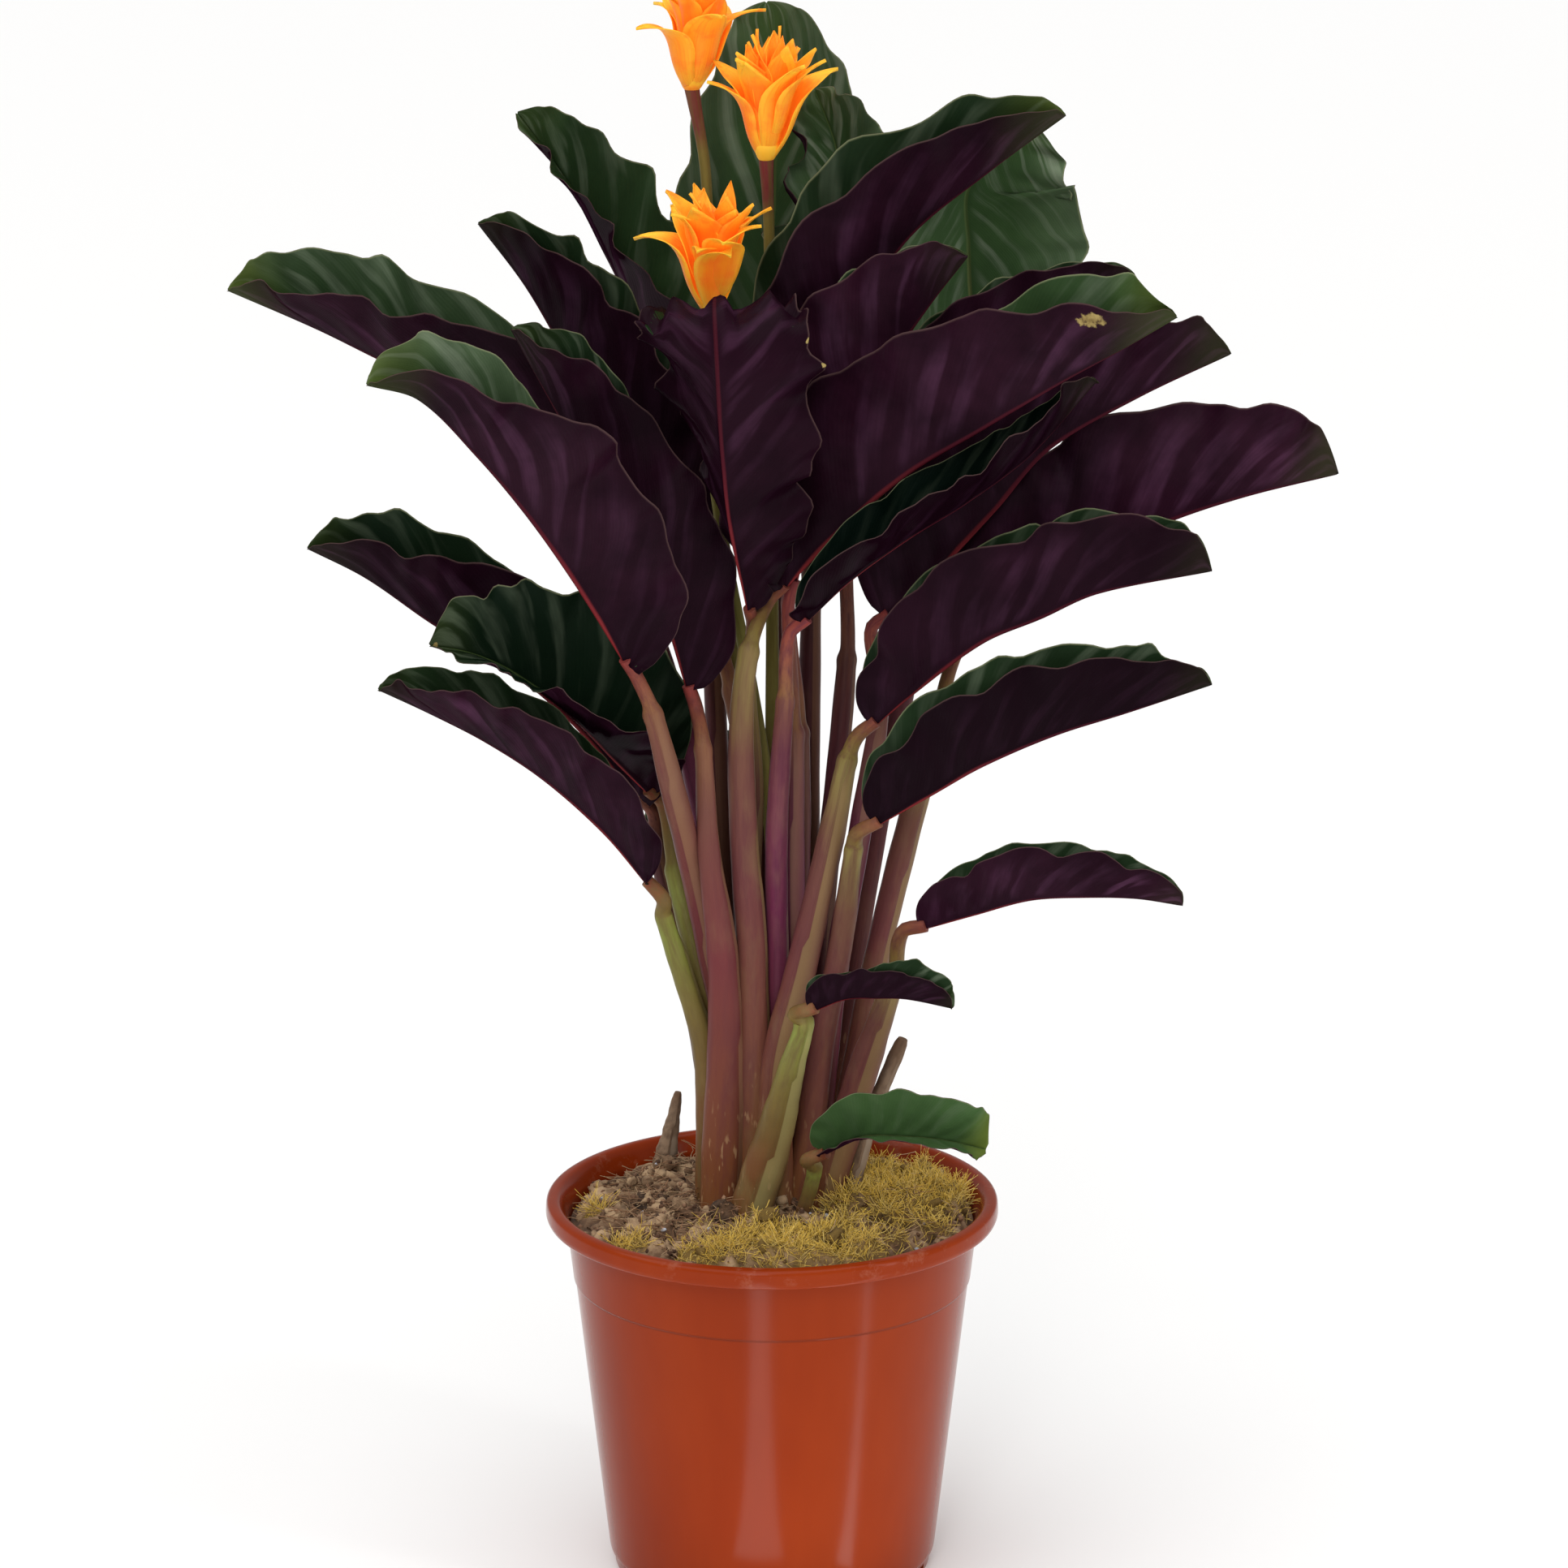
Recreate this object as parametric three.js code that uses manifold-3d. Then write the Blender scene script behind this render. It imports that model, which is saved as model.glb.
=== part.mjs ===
// Eternal flame calathea in its 17 cm nursery pot.
// Millimetres, +Z up, -Y to the front. The origin is on the ground under the middle of the whole outline.
// All routes and profiles are measured from the pot's axis and moved to their place at the end.
import * as THREE from 'three';
import Module from 'manifold-3d';

const wasm = await Module();
wasm.setup();

// Pot and soil
const RIM_RADIUS = 85;
const POT_HEIGHT = 145;
const POT_SIDES = 40;
const FOOT_RADIUS = 59.8;
const FOOT_HEIGHT = 5;
const SEAT_GAP = 0.3;
const SOIL_TOP = 140;
const SLOT_WIDTH = 27;
const SLOT_HEIGHT = 3.2;
const SLOT_ANGLES = [-30, 60, 150, 240];

// Blades and stalks
const BLADE_THICKNESS = 0.9;
const BLADE_STATIONS = [0, 0.04, 0.12, 0.23, 0.36, 0.5, 0.63, 0.75, 0.86, 0.95, 1];
const BLADE_STRIPS = 2;
const TIP_HALF_WIDTH = 0.8;
const CUP_LIMIT = 0.35;
const STALK_SIDES = 8;
const STALK_STEPS = 7;
const STALK_RADII = [3.3, 3.7, 3.9, 3.6, 2.2];
const ELBOW = 8;
const JOINT_GAP = 0.9;

// The pot's axis from the middle of the whole outline
const POT_PLACE = [-7, 8, 0];

// Each leaf: its rib from the stalk to the tip, the half width of the blade, and the turn of its left and
// right halves round the rib at the base, the middle and the tip (0 left, 90 forward, 180 right as seen from
// the front; the angle between the halves is the upper side). veins: angle between vein and rib along the
// rib. share, widest and taper: width, widest place and slenderness of the left and right half. gap: from
// the stalk to the blade. over: the rib bends over the top, so its sides are taken from +X.
const LEAVES = [
  {
    name: 'front_centre', half: 38, over: true,
    rib: [
      [-8, -9, 372], [-15, -38, 412], [-18, -51, 447], [-19, -56, 470], [-20, -50, 488], [-20, -34, 492],
      [-20, -16, 480],
    ],
    left: [-82, -50, 16], right: [-172, -172, -184],
    veins: [100, 78, 80],
    share: [0.95, 1],
    widest: [0.58, 0.58],
    taper: [1.1, 1.1],
    stalk: [[-5, 10, 140], [-8, 7, 261], [-7, 4, 305], [-9, 1, 343]],
  },
  {
    name: 'left_outer', half: 37,
    rib: [[-61, 2, 410], [-82, -4, 437], [-105, -12, 453], [-131, -20, 463], [-162, -29, 480], [-192, -37, 495]],
    left: [194, 190, 185], right: [160, 135, 116],
    share: [1.05, 1],
    widest: [0.56, 0.44],
    taper: [1.8, 1.22],
    stalk: [[-14, 20, 140], [-16, 22, 196], [-19, 24, 240], [-26, 24, 287], [-37, 18, 336], [-50, 9, 381]],
  },
  {
    name: 'left_big', half: 40, gap: 1.2,
    rib: [[-52, -38, 360], [-68, -51, 390], [-85, -66, 419], [-103, -81, 445], [-122, -93, 467], [-139, -98, 473]],
    left: [200, 200, 186], right: [174, 163, 112],
    widest: [0.56, 0.38],
    taper: [1.7, 1.22],
    stalk: [[-13, 9, 140], [-15, 8, 200], [-22, 5, 236], [-29, -6, 274], [-36, -26, 310], [-43, -36, 341]],
    girth: [3.4, 4.2, 4.4, 4.2, 2.8],
  },
  {
    name: 'left_inner', half: 36,
    rib: [[-30, -6, 342], [-40, -10, 375], [-54, -18, 408], [-73, -28, 443], [-92, -38, 481]],
    left: [205, 202, 185], right: [183, 172, 122],
    veins: [98, 68, 40],
    share: [1, 0.9],
    widest: [0.52, 0.4],
    taper: [1.5, 1.22],
    stalk: [[-19, 0, 140], [-17, -3, 194], [-18, -7, 240], [-23, -13, 283], [-25, -18, 323]],
    girth: [4.2, 5, 5, 3.4, 2.6],
  },
  {
    name: 'upper_left', half: 38,
    rib: [[-30, 26.4, 380], [-47, 24.4, 411], [-63, 21, 439], [-76, 16, 464], [-89, 7, 489], [-105, -3, 513]],
    left: [190, 187, 185], right: [168, 151, 130],
    taper: [1.25, 1.25],
    stalk: [[-7, 18, 140], [-6, 20, 288], [-15, 22, 335]],
  },
  {
    name: 'back_left', half: 40,
    rib: [[-25, 54, 405], [-37, 58, 435], [-49, 60, 465], [-62, 60, 492], [-75, 57, 518], [-93, 50, 545]],
    left: [150, 112, 75], right: [168, 166, 165],
    share: [0.8, 1],
    cup: [[5, 5, 5], [15, 15, 15]],
    stalk: [[-15, 30, 140], [-18, 37, 245], [-22, 46, 352]],
  },
  {
    name: 'back_top', half: 42,
    rib: [[3, 66, 414], [1, 78, 446], [0, 86, 482], [1, 89, 515], [2, 89, 548], [-2, 85, 581]],
    left: [16, 12, 8], right: [166, 168, 170],
    stalk: [[-1, 32, 140], [1, 39, 251], [2, 47, 313], [3, 56, 373]],
  },
  {
    name: 'back_middle', half: 32,
    rib: [[18, 46, 446], [22, 50, 476], [25, 52, 503], [24, 52, 530], [16, 48, 554]],
    left: [24, 16, 16], right: [160, 160, 160],
    stalk: [[6, 30, 140], [13, 33, 253], [14, 36, 315], [15, 41, 376]],
  },
  {
    name: 'upper_right', half: 44,
    rib: [[7, 14, 378], [15, 15, 425], [31, 14, 473], [48, 12, 504], [79, 8, 531], [105, 4, 551]],
    left: [-3, 29, 42], right: [-18, -8, 0],
    veins: [90, 68, 40],
    share: [1, 0.92],
    taper: [1.4, 1.4],
    stalk: [[6, 22, 140], [10, 20, 263], [10, 19, 320]],
  },
  {
    name: 'back_right', half: 46, gap: 1.2,
    rib: [[77, 66, 451], [74, 70, 472], [73, 73, 493], [73, 73, 514], [93, 70, 542]],
    left: [26, 24, 22], right: [168, 168, 160],
    veins: [112, 80, 56],
    share: [0.8, 1],
    stalk: [[19, 23, 140], [37, 36, 263], [62, 55, 388]],
  },
  {
    name: 'right_inner', half: 44,
    rib: [[8, 0, 380], [16, -2, 411], [30, -3, 441], [44, -4, 465], [58, -6, 486], [70, -8, 502]],
    left: [-4, -2, 3], right: [-13, -12, -12],
    share: [1, 0.96],
    veins: [92, 68, 40],
    widest: [0.38, 0.38],
    taper: [1.25, 1.25],
    stalk: [[9, 15, 140], [8, 10, 266], [8, 6, 323]],
  },
  {
    name: 'right_hidden', half: 34, gap: 1.2,
    rib: [[33, 26, 398], [53, 24, 423], [74, 20, 445], [94, 16, 464], [115, 12, 480], [131, 8, 492]],
    left: [1, 1, 1], right: [-18, -19, -16],
    widest: [0.38, 0.38],
    stalk: [[13, 29, 140], [19, 28, 242], [28, 27, 346]],
  },
  {
    name: 'right_big', half: 47,
    rib: [
      [4, -5, 380], [20, -11, 398], [47, -24, 425], [74, -39, 445], [103, -50, 465], [124, -56, 478],
      [142, -57, 489],
    ],
    left: [-5, 2, 55], right: [-17, -21, 0],
    veins: [92, 68, 40],
    widest: [0.36, 0.56],
    taper: [1.22, 1.7],
    stalk: [[-7, 2, 140], [-7, -4, 239], [-10, -8, 284], [-11, -12, 328], [-8, -14, 359]],
    girth: [3.8, 4.6, 5, 4.4, 2.8],
  },
  {
    name: 'right_second', half: 44,
    rib: [[42, 4, 367], [59, 0, 384], [81, -5, 409], [100, -9, 432], [131, -15, 452], [164, -20, 469]],
    left: [-5, -4, 8], right: [-21, -26, -22],
    stalk: [[14, 9, 140], [24, 8, 229], [34, 6, 292], [40, 4, 336]],
  },
  {
    name: 'right_cupped', half: 32,
    rib: [[12, -16, 370], [28, -20, 386], [50, -24, 403], [70, -26, 416], [93, -27, 434], [116, -25, 460]],
    left: [60, 70, 50], right: [-8, -8, 0],
    share: [1, 0.6],
    stalk: [[3, 7, 140], [2, 1, 247], [2, -5, 289], [5, -12, 340]],
  },
  {
    name: 'right_outer', half: 47, gap: 1.2,
    rib: [[74, 4, 358], [95, 0, 375], [118, -4, 391], [141, -8, 404], [170, -12, 415], [204, -14, 424]],
    left: [0, 0, 10], right: [-35, -35, -30],
    taper: [1.1, 1.1],
    stalk: [[21, 14, 140], [36, 12, 218], [45, 10, 260], [60, 6, 323]],
    girth: [3.4, 4, 4.4, 4.4, 3],
  },
  {
    name: 'right_lower', half: 35,
    rib: [[37, -18, 332], [50, -22, 344], [76, -28, 365], [97, -32, 375], [117, -36, 385], [157, -40, 394]],
    left: [9, 8, 17], right: [-25, -20, -5],
    widest: [0.5, 0.5],
    stalk: [[2, -1, 140], [2, -5, 195], [12, -8, 240], [24, -12, 297], [28, -14, 318]],
    girth: [3.4, 4.2, 4.8, 4.4, 2.6],
  },
  {
    name: 'right_low', half: 30,
    rib: [[38, -24, 296], [58, -30, 309], [76, -36, 321], [102, -42, 334], [128, -48, 344], [157, -52, 355]],
    left: [8, 12, 10], right: [-20, -12, -5],
    share: [1, 1.15],
    stalk: [[10, 2, 140], [18, 0, 200], [26, -8, 249], [30, -18, 285]],
  },
  {
    name: 'right_small', half: 21,
    rib: [[55, -32, 259], [74, -38, 266], [94, -44, 273], [114, -48, 275], [132, -50, 275], [148, -52, 273]],
    left: [15, 15, 20], right: [-30, -20, -10],
    stalk: [[18, 0, 140], [32, -4, 188], [45, -18, 235]],
    girth: [3.8, 4.6, 4.6, 3.4, 2.2],
  },
  {
    name: 'centre_small', half: 16,
    rib: [[15, -36, 229], [27, -42, 235], [38, -48, 237], [49, -53, 238], [65, -58, 236]],
    left: [7, 10, 14], right: [-17, -4, 5],
    share: [1, 1.2],
    stalk: [[-10, -9, 140], [0, -14, 169], [8, -26, 205], [12, -32, 223]],
    girth: [5.2, 5.6, 4.8, 3.6, 2.2],
  },
  {
    name: 'soil_leaf', half: 19,
    rib: [[19, -30, 171], [33, -38, 180], [47, -46, 183], [62, -53, 184], [78, -58, 182]],
    left: [10, 10, 10], right: [100, 110, 100],
    stalk: [[10, -9, 140], [16, -20, 162]],
    girth: [2.4, 2.4, 2.2],
  },
  {
    name: 'left_low', half: 38,
    rib: [[-49, 19, 294], [-75, 10, 327], [-101, -2, 352], [-123, -9, 367], [-147, -16, 386], [-167, -22, 398]],
    left: [206, 200, 185], right: [177, 160, 120],
    widest: [0.58, 0.42],
    taper: [1.9, 1.22],
    stalk: [[-20, 24, 140], [-26, 23, 196], [-35, 22, 241], [-43, 20, 277]],
  },
  {
    name: 'left_green', half: 44,
    rib: [[-45, 12, 298], [-56, 4, 311], [-74, -12, 334], [-95, -27, 354], [-108, -38, 363], [-122, -46, 368]],
    left: [194, 190, 185], right: [160, 110, 95],
    share: [1, 0.8],
    cup: [[15, 15, 15], [5, 5, 5]],
    stalk: [[-20, 13, 140], [-22, 13, 199], [-29, 10, 237], [-36, 5, 271]],
  },
  {
    name: 'left_lowest', half: 32,
    rib: [[-45, -10, 269], [-61, -12, 289], [-83, -15, 310], [-104, -18, 325], [-124, -23, 337], [-142, -28, 347]],
    left: [204, 202, 190], right: [140, 132, 120],
    veins: [80, 66, 40],
    share: [0.8, 1],
    widest: [0.55, 0.44],
    taper: [1.7, 1.22],
    stalk: [[-25, 7, 140], [-25, 5, 198], [-33, 1, 231], [-40, -6, 256]],
  },
  {
    name: 'back_low', half: 30,
    rib: [[-14, 52, 232], [-18, 60, 252], [-22, 65, 270], [-25, 68, 288], [-28, 69, 307]],
    left: [16, 16, 16], right: [168, 168, 168],
    stalk: [[-8, 34, 140], [-10, 39, 176], [-12, 47, 213]],
  },
];

// Each flower: its stalk, and how far its head leans to the right and to the front.
const FLOWERS = [
  {
    name: 'tall',
    stalk: [[-8, 25, 140], [-10, 28, 286], [-20, 32, 410], [-24, 36, 524], [-29, 38, 555]],
    lean: [0.06, 0.02],
  },
  {
    name: 'middle',
    stalk: [[-1, 22, 140], [0, 26, 287], [0, 30, 410], [-1, 28, 506], [-2, 26, 531]],
    lean: [0.05, 0.1],
  },
  {
    name: 'short',
    stalk: [[2, 15, 140], [-1, 14, 290], [-20, 9, 409], [-22, 6.5, 440], [-21, -1.6, 479]],
    lean: [0, 0.06],
  },
];
const FLOWER_STALK_RADII = [3.2, 3, 2.6, 2.3, 2.8];
const HEAD_SPOKES = 12;
// Rings of a head from its foot up: height, radius at the bract tips, radius between them, turned half a step.
const HEAD_RINGS = [
  [0, 3.4, 3.4, 0], [6, 5, 5, 0], [15, 7.5, 7.2, 0], [24, 11.5, 9.5, 0], [29, 21, 9.5, 0], [31.5, 20, 7.5, 0],
  [32, 8, 8, 1], [39, 18, 7, 1], [41, 16.5, 6, 1], [41.5, 5, 5, 0], [49, 9.5, 3.5, 0], [50, 8, 2.5, 0],
];

// Old stalks that were cut off or have died back
const STUBS = [
  { name: 'cut_stub', route: [[28, 6, 140], [36, 5, 170], [49, 3, 205]], radii: [3.6, 3.4, 2.6] },
  { name: 'dead_stub', route: [[-42, 52, 139.1], [-38.5, 52, 154], [-36, 53, 168]], radii: [4, 2.8, 1.6] },
];

const COLOURS = {
  blade: 0x2a4a2c, back_blade: 0x35603a, stalk: 0x8a6058, flower_stalk: 0x6b6a20, head: 0xff9a1f,
  pot: 0xb04430, soil: 0x4a382a, stub: 0x7a6a50,
};

const group = new THREE.Group();
group.name = 'calathea';

function vec(p) {
  return new THREE.Vector3(...p);
}

// A smooth route through points, where t is the share of the length along their chords.
function makeRoute(points) {
  const p = points.map(vec);
  const last = p.length - 1;
  const chords = p.slice(1).map((q, i) => q.distanceTo(p[i]));
  const at = [0];
  chords.forEach((c) => at.push(at[at.length - 1] + c));
  const slopes = p.map((q, i) => {
    const a = Math.max(i - 1, 0);
    const b = Math.min(i + 1, last);
    return p[b].clone().sub(p[a]).divideScalar(at[b] - at[a]);
  });
  const route = (t) => {
    const s = t * at[last];
    let i = 0;
    while (i < last - 1 && s > at[i + 1]) i += 1;
    const d = chords[i];
    const u = (s - at[i]) / d;
    const v = u - 1;
    return p[i].clone().multiplyScalar((1 + 2 * u) * v * v)
      .addScaledVector(slopes[i], u * v * v * d)
      .addScaledVector(p[i + 1], u * u * (3 - 2 * u))
      .addScaledVector(slopes[i + 1], u * u * v * d);
  };
  route.reach = at[last];
  return route;
}

function direction(route, t) {
  const step = 0.002;
  return route(Math.min(t + step, 1)).sub(route(Math.max(t - step, 0))).normalize();
}

// The curve through three values at 0, a half and 1.
function bow([a, b, c], t) {
  return a * (1 - t) * (1 - 2 * t) + 4 * b * t * (1 - t) + c * t * (2 * t - 1);
}

function bladeWidth(t, widest, taper) {
  const s = Math.min(Math.max(t, 1e-4), 1 - 1e-4);
  return (s / widest) ** (taper * widest) * ((1 - s) / (1 - widest)) ** (taper * (1 - widest));
}

// A closed body from rows of points with their normals: the sheet's two faces, half a thickness to each side,
// and its rim.
function makeSheet(rows, normals, thickness) {
  const n = rows.length;
  const c = rows[0].length;
  const positions = [];
  for (const side of [0.5, -0.5]) {
    rows.forEach((row, i) => row.forEach((q, j) => {
      const w = q.clone().addScaledVector(normals[i][j], side * thickness);
      positions.push(w.x, w.y, w.z);
    }));
  }
  const at = (i, j) => i * c + j;
  const under = n * c;
  const index = [];
  for (let i = 0; i < n - 1; i += 1) {
    for (let j = 0; j < c - 1; j += 1) {
      const [a, b, d, e] = [at(i, j), at(i, j + 1), at(i + 1, j + 1), at(i + 1, j)];
      index.push(a, b, d, a, d, e);
      index.push(under + a, under + d, under + b, under + a, under + e, under + d);
    }
  }
  const rim = [];
  for (let j = 0; j < c; j += 1) rim.push(at(0, j));
  for (let i = 1; i < n; i += 1) rim.push(at(i, c - 1));
  for (let j = c - 2; j >= 0; j -= 1) rim.push(at(n - 1, j));
  for (let i = n - 2; i > 0; i -= 1) rim.push(at(i, 0));
  rim.forEach((a, k) => {
    const b = rim[(k + 1) % rim.length];
    index.push(b, a, under + a, b, under + a, under + b);
  });
  return makeGeometry(positions, index);
}

function makeGeometry(positions, index) {
  const geometry = new THREE.BufferGeometry();
  geometry.setAttribute('position', new THREE.Float32BufferAttribute(positions, 3));
  geometry.setIndex(index);
  geometry.computeVertexNormals();
  return geometry;
}

function halfLength(leaf, side, t) {
  const share = leaf.share ? leaf.share[side] : 1;
  const widest = leaf.widest ? leaf.widest[side] : 0.44;
  const taper = leaf.taper ? leaf.taper[side] : 1.22;
  return leaf.half * share * bladeWidth(t, widest, taper) + TIP_HALF_WIDTH;
}

// The turn of both halves round the rib. Where the blade is narrow they open, so that they don't touch.
function halfTurns(leaf, t) {
  const left = bow(leaf.left, t);
  const right = bow(leaf.right, t);
  const narrow = Math.min(halfLength(leaf, 0, t), halfLength(leaf, 1, t));
  const least = THREE.MathUtils.radToDeg(2 * Math.asin(Math.min(1, 2.4 * BLADE_THICKNESS / narrow)));
  const spread = Math.max(0, least - Math.abs(left - right)) / 2;
  const way = Math.sign(right - left);
  return [left - way * spread, right + way * spread];
}

// One half of a blade: for each station the points from the rib out to the margin, and their normals.
function makeHalf(leaf, route, side) {
  const strips = BLADE_STRIPS * 4;
  const points = [];
  const normals = [];
  for (const t of BLADE_STATIONS) {
    const along = direction(route, t);
    const right = new THREE.Vector3(0, 1, 0).cross(along).normalize();
    if (leaf.over) right.set(1, 0, 0).addScaledVector(along, -along.x).normalize();
    const front = right.clone().cross(along);
    const length = halfLength(leaf, side, t);
    const vein = THREE.MathUtils.degToRad(bow(leaf.veins || [112, 68, 40], t));
    const ahead = Math.min(Math.cos(vein), (0.8 * (1 - t) * route.reach + TIP_HALF_WIDTH) / length);
    const aside = Math.sqrt(1 - ahead * ahead);
    const turns = halfTurns(leaf, t);
    const wedge = turns[1 - side] - turns[side];
    const cup = Math.min(bow(leaf.cup ? leaf.cup[side] : [15, 15, 15], t), CUP_LIMIT * Math.abs(wedge));
    const p = route(t);
    const row = [p.clone()];
    const rowNormals = [];
    const turnAt = (v) => THREE.MathUtils.degToRad(turns[side] + Math.sign(wedge) * cup * v);
    const normalAt = (a) => right.clone().multiplyScalar(Math.sin(a)).addScaledVector(front, Math.cos(a))
      .multiplyScalar(side === 0 ? 1 : -1);
    rowNormals.push(normalAt(turnAt(0)));
    for (let k = 1; k <= strips; k += 1) {
      const a = turnAt((k - 0.5) / strips);
      const out = right.clone().multiplyScalar(-Math.cos(a)).addScaledVector(front, Math.sin(a));
      const step = length / strips;
      p.addScaledVector(out, aside * step).addScaledVector(along, ahead * step);
      if (k % 4 === 0) {
        row.push(p.clone());
        rowNormals.push(normalAt(turnAt(k / strips)));
      }
    }
    points.push(row);
    normals.push(rowNormals);
  }
  return { points, normals };
}

function makeBlade(leaf) {
  const route = makeRoute(leaf.rib);
  const left = makeHalf(leaf, route, 0);
  const right = makeHalf(leaf, route, 1);
  const rows = left.points.map((half, i) => half.slice(1).reverse().concat(right.points[i]));
  const normals = left.normals.map((half, i) => {
    const middle = half[0].clone().add(right.normals[i][0]).normalize();
    return half.slice(1).reverse().concat([middle], right.normals[i].slice(1));
  });
  return makeSheet(rows, normals, BLADE_THICKNESS);
}

// A closed round bar along a route, with its radius running through radii.
function makeBar(points, radii, sides, steps) {
  const route = makeRoute(points);
  const positions = [];
  const index = [];
  for (let i = 0; i <= steps; i += 1) {
    const t = i / steps;
    const centre = route(t);
    const along = i === 0 ? new THREE.Vector3(0, 0, 1) : direction(route, t);
    const x = new THREE.Vector3(0, 1, 0).cross(along).normalize();
    const y = along.clone().cross(x);
    const s = t * (radii.length - 1);
    const k = Math.min(Math.floor(s), radii.length - 2);
    const radius = THREE.MathUtils.lerp(radii[k], radii[k + 1], s - k);
    for (let j = 0; j < sides; j += 1) {
      const a = (j / sides) * 2 * Math.PI;
      const p = centre.clone();
      p.addScaledVector(x, radius * Math.cos(a)).addScaledVector(y, radius * Math.sin(a));
      positions.push(p.x, p.y, p.z);
    }
  }
  for (let i = 0; i < steps; i += 1) {
    for (let j = 0; j < sides; j += 1) {
      const k = (j + 1) % sides;
      const [a, b, d, e] = [i * sides + j, i * sides + k, (i + 1) * sides + k, (i + 1) * sides + j];
      index.push(a, b, d, a, d, e);
    }
  }
  const end = steps * sides;
  for (let j = 1; j < sides - 1; j += 1) {
    index.push(0, j + 1, j, end, end + j, end + j + 1);
  }
  return makeGeometry(positions, index);
}

// The stalk reaches the rib's start in line with it, and stops a gap short of the blade.
function makeStalk(leaf) {
  const joint = vec(leaf.rib[0]);
  const along = direction(makeRoute(leaf.rib), 0);
  const elbow = joint.clone().addScaledVector(along, -ELBOW);
  const end = joint.clone().addScaledVector(along, -(leaf.gap || JOINT_GAP));
  const foot = leaf.stalk.map((p, i) => (i === 0 ? [p[0], p[1], SOIL_TOP + SEAT_GAP] : p));
  const points = [...foot, elbow.toArray(), end.toArray()];
  return makeBar(points, leaf.girth || STALK_RADII, STALK_SIDES, STALK_STEPS);
}

// A flower head: star shaped tiers of bracts that grow from one cup.
function makeHead(flower) {
  const base = vec(flower.stalk[flower.stalk.length - 1]);
  base.z += SEAT_GAP + 0.5;
  const positions = [];
  const index = [];
  for (const [height, tip, valley, turned] of HEAD_RINGS) {
    for (let j = 0; j < HEAD_SPOKES; j += 1) {
      const a = ((j + turned) / HEAD_SPOKES) * 2 * Math.PI;
      const radius = j % 2 === 0 ? tip : valley;
      positions.push(
        base.x + radius * Math.cos(a) + flower.lean[0] * height,
        base.y + radius * Math.sin(a) - flower.lean[1] * height,
        base.z + height,
      );
    }
  }
  const rings = HEAD_RINGS.length;
  for (let i = 0; i < rings - 1; i += 1) {
    const shift = HEAD_RINGS[i + 1][3] - HEAD_RINGS[i][3];
    for (let j = 0; j < HEAD_SPOKES; j += 1) {
      const lower = i * HEAD_SPOKES + j;
      const lowerNext = i * HEAD_SPOKES + ((j + 1) % HEAD_SPOKES);
      const upper = (i + 1) * HEAD_SPOKES + ((j - shift + HEAD_SPOKES) % HEAD_SPOKES);
      const upperNext = (i + 1) * HEAD_SPOKES + ((j + 1 - shift + HEAD_SPOKES) % HEAD_SPOKES);
      index.push(lower, lowerNext, upperNext, lower, upperNext, upper);
    }
  }
  const top = (rings - 1) * HEAD_SPOKES;
  for (let j = 1; j < HEAD_SPOKES - 1; j += 1) {
    index.push(0, j + 1, j, top, top + j, top + j + 1);
  }
  return makeGeometry(positions, index);
}

function makeLathe(profile) {
  const points = profile.map(([r, z]) => new THREE.Vector2(r, z));
  const geometry = new THREE.LatheGeometry(points, POT_SIDES);
  geometry.rotateX(Math.PI / 2);
  return geometry;
}

// The solid of a geometry, with its vertices joined by place.
function makeSolid(geometry) {
  const flat = geometry.index ? geometry.toNonIndexed() : geometry;
  const position = flat.getAttribute('position');
  const keys = new Map();
  const vertices = [];
  const triangles = [];
  for (let i = 0; i < position.count; i += 1) {
    const p = [position.getX(i), position.getY(i), position.getZ(i)];
    const key = p.map((v) => Math.round(v * 1000)).join();
    if (!keys.has(key)) {
      keys.set(key, vertices.length / 3);
      vertices.push(...p);
    }
    triangles.push(keys.get(key));
  }
  const faces = [];
  for (let i = 0; i < triangles.length; i += 3) {
    const [a, b, c] = triangles.slice(i, i + 3);
    if (a !== b && b !== c && c !== a) faces.push(a, b, c);
  }
  return new wasm.Manifold(new wasm.Mesh({
    numProp: 3,
    vertProperties: new Float32Array(vertices),
    triVerts: new Uint32Array(faces),
  }));
}

function add(name, geometry, colour) {
  geometry.translate(...POT_PLACE);
  const mesh = new THREE.Mesh(geometry, new THREE.MeshStandardMaterial({ color: colour, roughness: 0.5 }));
  mesh.name = name;
  group.add(mesh);
}

// Pot: a foot ring, a tapered body, a slightly wider collar and a rolled rim.
const pot = makeSolid(makeLathe([
  [0, FOOT_HEIGHT], [FOOT_RADIUS - 2.2, FOOT_HEIGHT], [FOOT_RADIUS - 2.2, 0], [FOOT_RADIUS, 0],
  [60.4, 5.2], [61.6, 5.6], [61.9, 7.2], [74.3, 118.5], [76.1, 120.5], [77.6, 136.6],
  [80, 137], [84.2, 137.2], [RIM_RADIUS, 138.6], [RIM_RADIUS, 143], [84, 144.5], [82, POT_HEIGHT],
  [80.2, 144.6], [78.6, 143.2], [76.4, 137.6], [75, 121.4], [73.2, 119.4], [60.7, 8.4], [60, 6.8], [0, 6.8],
]));
let pierced = pot;
for (const angle of SLOT_ANGLES) {
  const slot = wasm.Manifold.cube([SLOT_WIDTH, 12, SLOT_HEIGHT + 1], true)
    .translate([0, -FOOT_RADIUS, SLOT_HEIGHT / 2 - 0.5])
    .rotate([0, 0, angle]);
  pierced = pierced.subtract(slot);
}
const potMesh = pierced.getMesh();
const potPositions = [];
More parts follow.
